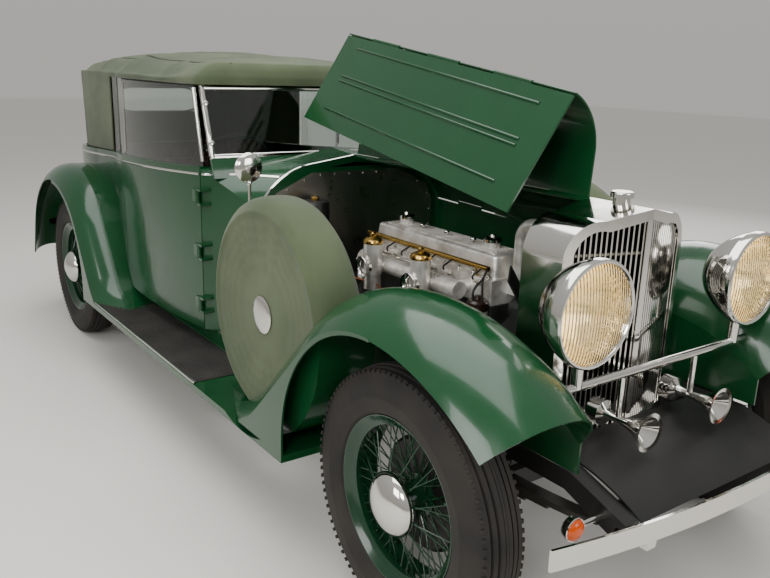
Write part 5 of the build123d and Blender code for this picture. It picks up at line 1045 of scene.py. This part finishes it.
def cut_across(piece, places):
    """Divides a mesh along planes across an axis, given as (axis number, place on it)."""
    hold(piece)
    bpy.ops.object.mode_set(mode="EDIT")
    for axis, place in places:
        normal = Vector((axis == 0, axis == 1, axis == 2))
        bpy.ops.mesh.select_all(action="SELECT")
        bpy.ops.mesh.bisect(plane_co=normal * place, plane_no=normal)
    bpy.ops.object.mode_set(mode="OBJECT")


def drop_faces(piece, unwanted):
    """Deletes the faces whose centres meet a test."""
    hold(piece)
    bpy.ops.object.mode_set(mode="EDIT")
    bpy.ops.mesh.select_mode(type="FACE")
    bpy.ops.mesh.select_all(action="DESELECT")
    bpy.ops.object.mode_set(mode="OBJECT")
    for face in piece.data.polygons:
        face.select = unwanted(face.center, face.normal)
    bpy.ops.object.mode_set(mode="EDIT")
    bpy.ops.mesh.delete(type="FACE")
    bpy.ops.mesh.select_mode(type="VERT")
    bpy.ops.object.mode_set(mode="OBJECT")


bpy.ops.object.select_all(action="DESELECT")
bpy.ops.mesh.primitive_cube_add(size=1)
hood_cloth = bpy.context.object
hood_cloth.scale = (HOOD_X[1] - HOOD_X[0], 2 * HOOD_HALF, HOOD_CROWN - HOOD_FOOT)
hood_cloth.location = (sum(HOOD_X) / 2, 0, (HOOD_FOOT + HOOD_CROWN) / 2)
settle(hood_cloth)
cut_across(
    hood_cloth,
    [(0, place) for place in (-0.18, -0.46, -0.76, -1.0, WINDOW_BACK, -1.45, -1.75)]
    + [(1, place) for place in (REAR_LIGHT[0][0], 0, REAR_LIGHT[0][1])]
    + [(2, place) for place in (REAR_LIGHT[1][0], REAR_LIGHT[1][1], WINDOW_TOP)],
)
drop_faces(
    hood_cloth,
    lambda c, n: n.z < -0.5
    or (c.z < WINDOW_TOP and c.x > WINDOW_BACK)
    or (n.x < -0.5 and abs(c.y) < REAR_LIGHT[0][1] and REAR_LIGHT[1][0] < c.z < REAR_LIGHT[1][1]),
)
hold(hood_cloth)
bpy.ops.object.mode_set(mode="EDIT")
bpy.ops.mesh.select_all(action="SELECT")
bpy.ops.mesh.subdivide(number_cuts=12)
bpy.ops.object.mode_set(mode="OBJECT")
for vertex in hood_cloth.data.vertices:
    vertex.co = on_hood(vertex.co)
    x, y, z = vertex.co
    pull = noise.noise(Vector((x * 5, y * 11, z * 14)))
    slack = noise.noise(Vector((x * 17 + 9, y * 6, z * 9)))
    middle = Vector((x if x > -1.9 else -1.8, 0, 1.3))
    vertex.co += (middle - vertex.co).normalized() * (0.0035 * abs(pull) + 0.0018 * abs(slack))
close_mesh(hood_cloth)
worked(hood_cloth, "SOLIDIFY", thickness=0.003, offset=-1.0)
finished(hood_cloth, "hood_cloth", khaki_duck, 50)
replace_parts(hood_cloth, "hood")

# Hood trim: tape of the same duck binds the cloth's edges and covers the two long seams of the
# roof and the rear light's rim. Inside, hoops of bent ash hold the cloth up.


def veneer(name, deep, light):
    """Polished wood: long figured bands along the car's width, under clear polish."""
    material, tree, surface, place = new_material(name)
    stretched = add_node(tree, "ShaderNodeMapping", {"Vector": place, "Scale": (6.0, 1.0, 6.0)})
    figure = add_node(
        tree, "ShaderNodeTexNoise",
        {"Vector": stretched.outputs["Vector"], "Scale": spaced(111), "Detail": 9.0, "Distortion": 1.6},
    )
    shade = add_node(
        tree, "ShaderNodeMix", {"Factor": figure.outputs["Fac"], 6: tint(deep), 7: tint(light)},
        data_type="RGBA",
    )
    feed(tree, surface, {
        "Base Color": shade.outputs[2], "Roughness": 0.25, "Coat Weight": 0.8, "Coat Roughness": 0.05,
    })
    return material


bent_ash = veneer("bent_ash", "7A5C38", "A88558")
BACK_X = HOOD_X[0]
HEM = HOOD_FOOT + 0.008
HOOP_Z = 1.53
for side, word in ((1, "left"), (-1, "right")):
    seam_line = [on_hood((0.10 - n * 0.165, side * 0.470, HOOD_CROWN)) for n in range(13)]
    edge_line = [on_hood((0.118 - n * 0.107, side * HOOD_HALF, WINDOW_TOP)) for n in range(13)]
    back_line = [on_hood((WINDOW_BACK, side * HOOD_HALF, WINDOW_TOP - n * 0.0735)) for n in range(7)]
    foot_line = [on_hood((WINDOW_BACK - n * 0.109, side * HOOD_HALF, HEM)) for n in range(8)]
    foot_line += [on_hood((BACK_X, side * (0.50 - n * 0.125), HEM)) for n in range(5)]
    for part, line, width in (
        ("roof_seam", seam_line, 0.0035), ("window_edge", edge_line, 0.0045),
        ("quarter_edge", back_line, 0.0045), ("foot_edge", foot_line, 0.0050),
    ):
        pipe(line, width, f"hood_{part}_{word}", binding_duck, 8)
light_line = []
for n in range(33):
    turn = 2 * math.pi * n / 32 - math.pi / 2
    y = REAR_LIGHT[0][1] * max(-1.0, min(1.0, 1.25 * math.cos(turn)))
    z = sum(REAR_LIGHT[1]) / 2 + 0.078 * max(-1.0, min(1.0, 1.25 * math.sin(turn)))
    light_line.append(on_hood((BACK_X, y, z)) - Vector((0.002, 0, 0)))
pipe(light_line, 0.006, "rear_light_binding", binding_duck, 8)
for n, bow_x in enumerate(BOWS):
    bow_line = [on_hood((bow_x, y * 0.1, HOOD_CROWN)) - Vector((0, 0, 0.022)) for y in range(-5, 6)]
    feet = [Vector((bow_x, bow_line[end].y + out, HOOP_Z)) for end, out in ((0, -0.055), (-1, 0.055))]
    pipe([feet[0], *bow_line, feet[1]], 0.011, f"hood_hoop_{n + 1}", bent_ash, 12)

# Spare wheels: a wire wheel with its tyre in each front wing's well, under a cover of the hood's
# cloth drawn tight over the tyre with a piped edge. A plain plated disc shows at the middle.
SPARE_PLACE = (0.978, 0.700, 0.755)
COVER_LINE = (
    (0.060, 0.0815), (0.090, 0.082), (0.130, 0.0825), (0.170, 0.083), (0.210, 0.084), (0.250, 0.0855),
    (0.290, 0.087), (0.325, 0.088), (0.352, 0.0885), (0.358, 0.0915), (0.364, 0.0915), (0.369, 0.0875),
    (0.384, 0.080), (0.397, 0.068), (0.405, 0.052), (0.4085, 0.030), (0.4095, 0.0), (0.4085, -0.030),
    (0.405, -0.052), (0.397, -0.068), (0.384, -0.080), (0.368, -0.086), (0.350, -0.0885),
    (0.330, -0.0880),
)
CLOTH = 0.0022
cover_shell = list(COVER_LINE)
for radius, offset in reversed(COVER_LINE):
    cover_shell.append((radius - 0.0018, offset - CLOTH if offset > 0 else offset + CLOTH))
cover_disc = turned(
    [
        (0.0, 0.078), (0.062, 0.079), (0.067, 0.083), (0.067, 0.086), (0.062, 0.089), (0.048, 0.092),
        (0.026, 0.096), (0.0, 0.0975),
    ],
    48,
)
for side, word in ((1, "left"), (-1, "right")):
    spot = Matrix.Translation((SPARE_PLACE[0], side * SPARE_PLACE[1], SPARE_PLACE[2]))
    spot = spot @ Matrix.Diagonal((1, side, 1, 1))
    tyre_copy = copied(tyre_pattern, spot)
    wheel_copy = copied(wire_wheel, spot)
    disc_copy = copied(cover_disc, spot)
    cover = turned(cover_shell, 144)
    for vertex in cover.data.vertices:
        turn = math.atan2(vertex.co.z, vertex.co.x)
        reach = math.hypot(vertex.co.x, vertex.co.z)
        outer_face = vertex.co.y > 0
        fold = noise.noise(Vector((math.cos(turn) * 9, math.sin(turn) * 9, side * 3 + vertex.co.y * 6)))
        vertex.co.y -= 0.0022 * abs(fold) * eased(reach, 0.10, 0.30) * (1 if outer_face else -1)
        if outer_face and reach < 0.35:
            vertex.co.y -= 0.004 * (1 - abs(2 * reach / 0.36 - 1))
    cover.matrix_world = spot
    finished(tyre_copy, f"spare_tyre_{word}", tyre_rubber)
    finished(wheel_copy, f"spare_wheel_{word}", wheel_green)
    finished(disc_copy, f"spare_disc_{word}", chrome)
    finished(cover, f"spare_cover_{word}", khaki_duck, 40)
    for piece in (tyre_copy, wheel_copy, disc_copy, cover):
        if side < 0:
            close_mesh(piece)
        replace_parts(piece, "spare_covers")
for pattern in (cover_disc, tyre_pattern, wire_wheel):
    bpy.data.objects.remove(pattern)

# Seats: hide in dark brown, stuffed and sewn in upright pleats over a sprung frame, with plain
# facings below. Hide creases where it is sat on, and shines where it is rubbed.


def upholstery_hide(name, deep, light):
    """Dyed cowhide with a pebbled grain about 2 mm across."""
    material, tree, surface, place = new_material(name)
    wear = add_node(tree, "ShaderNodeTexNoise", {"Vector": place, "Scale": spaced(143), "Detail": 6.0})
    shade = add_node(
        tree, "ShaderNodeMix", {"Factor": wear.outputs["Fac"], 6: tint(deep), 7: tint(light)},
        data_type="RGBA",
    )
    gloss = add_node(
        tree, "ShaderNodeMapRange", {"Value": wear.outputs["Fac"], "To Min": 0.38, "To Max": 0.6}
    )
    pebble = add_node(tree, "ShaderNodeTexVoronoi", {"Vector": place, "Scale": spaced(2.22)})
    bump = add_node(
        tree, "ShaderNodeBump", {"Height": pebble.outputs["Distance"], "Strength": 0.25, "Distance": 0.001}
    )
    feed(tree, surface, {
        "Base Color": shade.outputs[2], "Roughness": gloss.outputs["Result"],
        "Normal": bump.outputs["Normal"],
    })
    return material


brown_hide = upholstery_hide("dark_brown_hide", "2A130C", "4A2417")
PLEAT = 0.078
PAD_VOXEL = 0.012
SWELL_CAP = 0.012
PAD_ROUND = 0.035
CROWN = 0.012
PLEAT_DEPTH, PLEAT_WIDTH = 0.009, 0.009
PLEAT_START = (-0.86, -0.80)


def swell(pad):
    """Blows a pad up a little with cloth pressure, capped so that it keeps to its frame."""
    rest = [vertex.co.copy() for vertex in pad.data.vertices]
    cloth = pad.modifiers.new("stuffing", "CLOTH")
    cloth.settings.use_pressure = True
    cloth.settings.uniform_pressure_force = 4
    cloth.settings.effector_weights.gravity = 0
    for step in range(1, 21):
        bpy.context.scene.frame_set(step)
    hold(pad)
    bpy.ops.object.modifier_apply(modifier=cloth.name)
    bpy.context.scene.frame_set(1)
    for vertex, start in zip(pad.data.vertices, rest):
        move = vertex.co - start
        if move.length > SWELL_CAP:
            vertex.co = start + move.normalized() * SWELL_CAP


def seat_pad(*size):
    """A stuffed pad: swollen, crowned, and drawn in along the seams of its pleats on its top face."""
    pad = block((0, 0, 0), [edge - 2 * SWELL_CAP for edge in size], PAD_ROUND, 4)
    worked(pad, "REMESH", mode="VOXEL", voxel_size=PAD_VOXEL)
    swell(pad)
    worked(pad, "SUBSURF", levels=1, render_levels=1)
    half_x, half_y = size[0] / 2, size[1] / 2
    seams = round(size[1] / PLEAT)
    pitch = size[1] / seams
    normals = [vertex.normal.copy() for vertex in pad.data.vertices]
    for vertex, normal in zip(pad.data.vertices, normals):
        x, y, z = vertex.co
        crown = CROWN * math.cos(min(1.0, abs(x) / half_x) * math.pi / 2)
        crown *= math.cos(min(1.0, abs(y) / half_y) * math.pi / 2)
        facing = eased(normal.z, 0.05, 0.6) * eased(half_y - abs(y), 0.030, 0.050)
        seam = abs((y + half_y) % pitch - pitch / 2)
        groove = math.exp(-(((pitch / 2 - seam) / PLEAT_WIDTH) ** 2)) * eased(x / half_x, *PLEAT_START)
        puff = 0.004 * math.cos((pitch / 2 - seam) / pitch * math.pi) if facing else 0
        vertex.co.z += crown * (1 if z > 0 else 0) - facing * (PLEAT_DEPTH * groove + puff * 0.5) - 0.006
    return pad


def fit_pad(pattern, name, spot, lean, side_y, seat):
    place = Matrix.Translation((spot[0], side_y, spot[1])) @ Matrix.Rotation(math.radians(lean), 4, "Y")
    pad = finished(copied(pattern, place), name, brown_hide, 60)
    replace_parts(pad, seat)


front_cushion = seat_pad(0.500, 0.470, 0.165)
front_back = seat_pad(0.520, 0.470, 0.120)
rear_cushion = seat_pad(0.500, 1.060, 0.138)
rear_back = seat_pad(0.385, 1.060, 0.118)
for side, word in ((1, "left"), (-1, "right")):
    seat_y = side * 0.300
    fit_pad(front_cushion, f"front_cushion_{word}", (-0.335, 0.668), -2, seat_y, "front_seats")
    fit_pad(front_back, f"front_backrest_{word}", (-0.545, 0.888), 83, seat_y, "front_seats")
fit_pad(rear_cushion, "rear_cushion", (-1.245, 0.772), -2, 0, "rear_seat")
fit_pad(rear_back, "rear_backrest", (-1.472, 0.945), 80, 0, "rear_seat")
for pattern in (front_cushion, front_back, rear_cushion, rear_back):
    bpy.data.objects.remove(pattern)

# Steering wheel: a moulded black hard rubber rim, scalloped inside for the fingers, on twelve sprung
# steel spokes in four groups. The metal is bright plated.
hard_rubber = rubber("hard_rubber", "0B0A09", "1C1917")
WHEEL_HEAD = Vector((-0.185, -0.340, 1.075))
COLUMN_WAY = (Vector((0.755, -0.340, 0.640)) - WHEEL_HEAD).normalized()
GRIP_R, GRIP_THICK = 0.203, 0.0115
SCALLOPS = 40
SPOKE_GAP = 0.009
wheel_place = Matrix.Translation(WHEEL_HEAD - COLUMN_WAY * 0.030) @ aimed(-COLUMN_WAY)
rim_line = []
for n in range(14):
    turn = 2 * math.pi * n / 14
    rim_line.append((GRIP_R + GRIP_THICK * math.cos(turn), GRIP_THICK * math.sin(turn)))
grip = turned(rim_line, 120, UPRIGHT)
for vertex in grip.data.vertices:
    turn = math.atan2(vertex.co.y, vertex.co.x)
    if math.hypot(vertex.co.x, vertex.co.y) < GRIP_R:
        inward = Vector((vertex.co.x, vertex.co.y, 0)).normalized()
        vertex.co += inward * 0.0018 * (0.5 + 0.5 * math.cos(turn * SCALLOPS))
grip.matrix_world = wheel_place
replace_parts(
    finished(grip, "steering_wheel_grip", hard_rubber, body="steering_wheel"),
    "steering_wheel",
)
wheel_metal = [
    turned(
        [(0.0, -0.012), (0.030, -0.010), (0.034, 0.000), (0.033, 0.010), (0.026, 0.016), (0.0, 0.018)],
        40, UPRIGHT,
    ),
    turned([(0.0, -0.072), (0.0115, -0.072), (0.0115, -0.008), (0.0, -0.008)], 24, UPRIGHT),
]
for arm in range(4):
    turn = math.pi * (0.25 + 0.5 * arm)
    out = Vector((math.cos(turn), math.sin(turn), 0))
    beside = Vector((-math.sin(turn), math.cos(turn), 0)) * SPOKE_GAP
    for wire in (-1, 0, 1):
        wheel_metal.append(rod(out * 0.030 + beside * wire, out * 0.200 + beside * wire, 0.0022, 8))
wheel_metal = joined(*wheel_metal)
wheel_metal.matrix_world = wheel_place
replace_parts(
    finished(wheel_metal, "steering_wheel_spokes", chrome, body="steering_wheel"),
    "steering_wheel",
)

# Dashboard: figured walnut veneer, French polished, with five dials let in: black faces with plain
# ticks and a needle, in plated bezels.
walnut = veneer("walnut_veneer", "2A120A", "6A3A1E")
dress(walnut, "dashboard")
DASH_X = 0.1455
NEEDLE_X, TICK_X = 0.1405, 0.1420
REARWARD = (-1, 0, 0)
DIALS = (
    (-0.440, 1.110, 0.052), (-0.240, 1.110, 0.052), (-0.070, 1.085, 0.030), (0.0, 1.140, 0.030),
    (0.070, 1.085, 0.030),
)
bezels, faces = [], []
for dial_y, dial_z, dial_r in DIALS:
    spot = Matrix.Translation((DASH_X, dial_y, dial_z))
    bezel = turned(
        [
            (dial_r - 0.004, 0.0), (dial_r + 0.004, 0.0), (dial_r + 0.004, 0.005), (dial_r, 0.009),
            (dial_r - 0.003, 0.007),
        ],
        36, REARWARD,
    )
    face = turned([(0.0, 0.0), (dial_r - 0.002, 0.0), (dial_r - 0.002, 0.003), (0.0, 0.003)], 36, REARWARD)
    bezel.matrix_world = face.matrix_world = spot
    needle_tip = (NEEDLE_X, dial_y - dial_r * 0.4, dial_z + dial_r * 0.55)
    bezels += [bezel, rod((NEEDLE_X, dial_y, dial_z), needle_tip, 0.0012)]
    faces.append(face)
    for tick in range(9):
        turn = math.radians(-45 + tick * 33.75)
        inner, outer = (
            (TICK_X, dial_y + reach * math.cos(turn), dial_z + reach * math.sin(turn))
            for reach in (dial_r * 0.70, dial_r * 0.85)
        )
        bezels.append(rod(inner, outer, 0.0009, 4))
settle(*bezels, *faces)
finished(joined(*bezels), "dial_bezels", chrome)
finished(joined(*faces), "dial_faces", bakelite)

# Running boards: pressed steel in the body's green, covered with a mat of moulded black rubber
# with ribs along it, and edged with bright strips on both sides.
board_rubber = rubber("ribbed_board_rubber", "141311", "2E2A25")
dress(body_green, "running_boards")
BOARD_TOP = 0.361
BOARD_RUN = (-0.900, 0.530)
MAT_RIBS = 16
board_mid = sum(BOARD_RUN) / 2
board_len = BOARD_RUN[1] - BOARD_RUN[0]
for side, word in ((1, "left"), (-1, "right")):
    mat = [block((board_mid, side * 0.729, BOARD_TOP + 0.002), (board_len, 0.250, 0.004), 0.0015)]
    for n in range(MAT_RIBS):
        rib_spot = (board_mid, side * (0.615 + n * 0.0152), BOARD_TOP + 0.005)
        mat.append(block(rib_spot, (board_len - 0.010, 0.007, 0.006)))
    finished(joined(*mat), f"board_mat_{word}", board_rubber)
    edge = [
        block((board_mid, side * 0.8605, BOARD_TOP + 0.004), (board_len + 0.02, 0.012, 0.008), 0.003),
        block((board_mid, side * 0.606, BOARD_TOP + 0.004), (board_len, 0.006, 0.008)),
    ]
    finished(joined(*edge), f"board_edging_{word}", chrome)

# Bumpers and headlamps: sprung steel bars, and brass bowls on a cross bar, all chromium plated.
# Each lamp has a silvered reflector round its bulb, and a pressed glass with upright flutes
# in a rolled rim. The reflector is given a faint warm painted glow, though the lamps are not lit.
dress(chrome, "headlamps", "lamp_bar", "front_bumper", "rear_bumper")
LAMP_SPOT = (2.085, 0.377, 0.990)
FLUTE = 0.011
BOWL_R, BOWL_DEPTH = 0.137, 0.100
fluted_glass = plate_glass("fluted_lamp_glass", "FFF7E6")
pressed = fluted_glass.node_tree
flutes = add_node(
    pressed, "ShaderNodeTexWave",
    {"Vector": pressed.nodes["Texture Coordinate"].outputs["Object"], "Scale": 2 * math.pi / (20 * FLUTE)},
    bands_direction="Y",
)
flute_bump = add_node(
    pressed, "ShaderNodeBump", {"Height": flutes.outputs["Fac"], "Strength": 0.6, "Distance": 0.004}
)
feed(pressed, pressed.nodes["Principled BSDF"], {"Normal": flute_bump.outputs["Normal"]})
glowing_reflector = polished("reflector_painted_glow", "F4EACB", 0.08)
# a warm emission on the reflector: a painted glow, not a lit lamp
feed(
    glowing_reflector.node_tree, glowing_reflector.node_tree.nodes["Principled BSDF"],
    {"Emission Color": tint("FFD98A"), "Emission Strength": 0.9},
)

lamp_glass = turned(
    [
        (0.0, 0.0155), (0.030, 0.0150), (0.060, 0.0132), (0.090, 0.0102), (0.115, 0.0062),
        (0.132, 0.0020), (0.139, -0.002), (0.139, -0.006), (0.131, -0.0025), (0.114, 0.0020),
        (0.089, 0.0062), (0.060, 0.0094), (0.030, 0.0112), (0.0, 0.0118),
    ],
    72,
    FORWARD,
)
bowl_curve = [
    (BOWL_R * (depth / BOWL_DEPTH) ** 0.5, depth - 0.110)
    for depth in (0, 0.001, 0.004, 0.010, 0.020, 0.034, 0.052, 0.074, BOWL_DEPTH)
]
bowl_back = [(radius, offset - 0.002) for radius, offset in reversed(bowl_curve)]
lamp_reflector = turned(bowl_curve + bowl_back, 72, FORWARD)
lamp_rim = turned(
    [
        (0.1365, -0.002), (0.1365, -0.010), (0.1480, -0.020), (0.1515, -0.018), (0.1520, -0.006),
        (0.1505, 0.003), (0.1465, 0.007), (0.1410, 0.007), (0.1380, 0.003),
    ],
    96,
    FORWARD,
)
lamp_bulb = turned(
    [
        (0.0, -0.108), (0.014, -0.108), (0.014, -0.084), (0.011, -0.080), (0.015, -0.068),
        (0.015, -0.058), (0.010, -0.049), (0.0, -0.046),
    ],
    28,
    FORWARD,
)
for pattern, part, material, slot in (
    (lamp_glass, "glass", fluted_glass, "clear_glass"),
    (lamp_reflector, "reflector", glowing_reflector, "bright_metal"),
    (lamp_rim, "rim", chrome, "bright_metal"),
    (lamp_bulb, "bulb", clear_glass, "clear_glass"),
):
    for side, word in ((1, "left"), (-1, "right")):
        piece = copied(pattern, Matrix.Translation((LAMP_SPOT[0], side * LAMP_SPOT[1], LAMP_SPOT[2])))
        finished(piece, f"headlamp_{part}_{word}", material)
        if part == "glass":
            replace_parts(piece, "headlamp_lenses")
    bpy.data.objects.remove(pattern)

# Mirrors: a domed, plated brass back with a rim and a plain glass, on a slim stalk that is clamped
# over the spare wheel's cover.
MIRROR_SPOT = (0.728, 0.700, 1.2325)
mirror_shell = turned(
    [
        (0.0, 0.014), (0.020, 0.0135), (0.038, 0.010), (0.050, 0.004), (0.0545, -0.003),
        (0.0545, -0.009), (0.050, -0.0105), (0.048, -0.008), (0.0, -0.008),
    ],
    48,
    FORWARD,
)
for side, word in ((1, "left"), (-1, "right")):
    stem_x, stem_y = MIRROR_SPOT[0], side * MIRROR_SPOT[1]
    back = copied(mirror_shell, Matrix.Translation((stem_x, stem_y, MIRROR_SPOT[2])))
    settle(back)
    mirror = joined(
        back,
        rod((stem_x, stem_y, 1.070), (stem_x, stem_y, 1.180), 0.006, 14),
        barrel((stem_x, stem_y, 1.094), 0.012, 0.018, sides=20, edge=0.003),
        barrel((stem_x, stem_y, 1.176), 0.009, 0.016, sides=20, edge=0.003),
    )
    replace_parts(finished(mirror, f"mirror_{word}", chrome), "mirrors")
bpy.data.objects.remove(mirror_shell)

# Tail lamps: a turned and plated cup on the back of each rear wing, with a stepped lens of pressed
# red glass.
red_glass = plate_glass("red_lamp_glass", "A00808", 0.5)
TAIL_LAMP_R = 0.038
tail_low, tail_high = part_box("tail_lamps")
tail_depth = tail_high[0] - tail_low[0]
tail_cup = turned(
    [
        (0.0, tail_depth - 0.002), (0.030, tail_depth - 0.002), (0.034, 0.030), (0.0365, 0.018),
        (0.0378, 0.014), (0.0378, 0.009), (0.0350, 0.008), (0.0345, 0.012), (0.0, 0.012),
    ],
    36,
    FORWARD,
)
tail_lens = turned(
    [
        (0.0, 0.014), (0.0343, 0.014), (0.0343, 0.009), (0.0310, 0.0045), (0.0270, 0.0040),
        (0.0220, 0.0018), (0.0170, 0.0016), (0.0090, 0.0006), (0.0, 0.0005),
    ],
    36,
    FORWARD,
)
for side, word in ((1, "left"), (-1, "right")):
    tail_y, tail_z = side * (tail_high[1] - TAIL_LAMP_R), (tail_low[2] + tail_high[2]) / 2
    spot = Matrix.Translation((tail_low[0], tail_y, tail_z))
    for pattern, part, material, slot in (
        (tail_cup, "cup", chrome, "bright_metal"), (tail_lens, "lens", red_glass, "red_lens"),
    ):
        piece = finished(copied(pattern, spot), f"tail_lamp_{part}_{word}", material)
        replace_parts(piece, "tail_lamps")
for pattern in (tail_cup, tail_lens):
    bpy.data.objects.remove(pattern)

# Low front lamps: small plated cups on stalks out from the chassis, each with a domed lens of
# orange glass.
orange_glass = plate_glass("orange_lamp_glass", "F06010", 0.55)
INDICATOR_SPOT = (2.185, 0.5375, 0.476)
STALK_X = 2.205
lamp_cup = turned(
    [
        (0.0, 0.0), (0.018, 0.001), (0.029, 0.008), (0.0335, 0.020), (0.0340, 0.030), (0.0325, 0.032),
        (0.0300, 0.031), (0.0300, 0.026), (0.0, 0.026),
    ],
    36,
    FORWARD,
)
lamp_dome = turned(
    [
        (0.0, 0.024), (0.0305, 0.024), (0.0305, 0.031), (0.0270, 0.037), (0.0190, 0.0425),
        (0.0095, 0.0450), (0.0, 0.0458),
    ],
    36,
    FORWARD,
)
for side, word in ((1, "left"), (-1, "right")):
    spot = Matrix.Translation((INDICATOR_SPOT[0], side * INDICATOR_SPOT[1], INDICATOR_SPOT[2]))
    cup = copied(lamp_cup, spot)
    settle(cup)
    stalk_ends = [(STALK_X, side * out, INDICATOR_SPOT[2]) for out in (0.4278, 0.510)]
    cup = joined(cup, rod(*stalk_ends, 0.0088, 16))
    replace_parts(finished(cup, f"indicator_cup_{word}", chrome), "indicators")
    dome = finished(copied(lamp_dome, spot), f"indicator_lens_{word}", orange_glass)
    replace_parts(dome, "indicators")
for pattern in (lamp_cup, lamp_dome):
    bpy.data.objects.remove(pattern)

# Studio: a pale plain floor that runs out to a soft white room, lit by one large lamp overhead and
# smaller ones to the front and sides.
bpy.ops.object.select_all(action="DESELECT")
bpy.ops.mesh.primitive_plane_add(size=60, location=(0, 0, 0))
studio_floor = bpy.context.object
studio_floor.name = "studio_floor"
floor_paint, floor_tree, floor_surface, _ = new_material("pale_floor")
feed(floor_tree, floor_surface, {"Base Color": tint("D6D3CD"), "Roughness": 0.65})
studio_floor.data.materials.append(floor_paint)

world = bpy.data.worlds.new("soft_white_room")
bpy.context.scene.world = world
world.use_nodes = True
room = world.node_tree
room.nodes.clear()
look = add_node(room, "ShaderNodeTexCoord")
rise = add_node(room, "ShaderNodeSeparateXYZ", {"Vector": look.outputs["Generated"]})
ramp = add_node(room, "ShaderNodeValToRGB", {"Fac": rise.outputs["Z"]})
ramp.color_ramp.elements[0].position = 0.0
ramp.color_ramp.elements[0].color = tint("E2DFDA")
ramp.color_ramp.elements[1].position = 0.75
ramp.color_ramp.elements[1].color = tint("FFFFFF")
sky = add_node(room, "ShaderNodeBackground", {"Color": ramp.outputs["Color"], "Strength": 0.62})
add_node(room, "ShaderNodeOutputWorld", {"Surface": sky.outputs["Background"]})
for name, place, aim, size, power in (
    ("lamp_overhead", (0.5, -0.5, 5.5), (0.2, 0, 0.8), 5.0, 330),
    ("lamp_right", (2.0, -6.0, 3.5), (0.3, 0, 0.8), 2.4, 130),
    ("lamp_engine", (3.6, -3.2, 2.6), (0.9, -0.2, 0.9), 1.0, 60),
    ("lamp_front", (7.5, 1.5, 3.0), (0.5, 0, 0.8), 3.0, 160),
    ("lamp_left", (-2.0, 6.0, 3.5), (0, 0, 0.8), 3.0, 120),
):
    light = bpy.data.lights.new(name, "AREA")
    light.size = size
    light.energy = power
    lamp = bpy.data.objects.new(name, light)
    bpy.context.scene.collection.objects.link(lamp)
    lamp.location = place
    lamp.rotation_mode = "QUATERNION"
    lamp.rotation_quaternion = (Vector(aim) - Vector(place)).to_track_quat("-Z", "Y")

# Camera: the place, aim and lens that were fitted to the photograph's wheels, radiator and hood.
# The roll follows the picture, which was not quite level.
LENS = 37.63
SENSOR = 36.0
CAMERA_PLACE = Vector((3.385, -2.02, 1.603))
YAW = math.radians(36.224)
PITCH = math.radians(15.485)
ROLL = math.radians(1.799)
ahead = Vector((-math.cos(YAW), math.sin(YAW), 0))
across = Vector((math.sin(YAW), math.cos(YAW), 0))
upright = Vector((0, 0, 1))
view_line = ahead * math.cos(PITCH) - upright * math.sin(PITCH)
view_up = upright * math.cos(PITCH) + ahead * math.sin(PITCH)
camera_x = across * math.cos(ROLL) + view_up * math.sin(ROLL)
camera_y = -across * math.sin(ROLL) + view_up * math.cos(ROLL)
camera_data = bpy.data.cameras.new("camera")
camera_data.lens = LENS
camera_data.sensor_width = SENSOR
camera = bpy.data.objects.new("camera", camera_data)
bpy.context.scene.collection.objects.link(camera)
camera.location = CAMERA_PLACE
camera.rotation_mode = "QUATERNION"
camera.rotation_quaternion = Matrix((camera_x, camera_y, -view_line)).transposed().to_quaternion()
bpy.context.scene.camera = camera
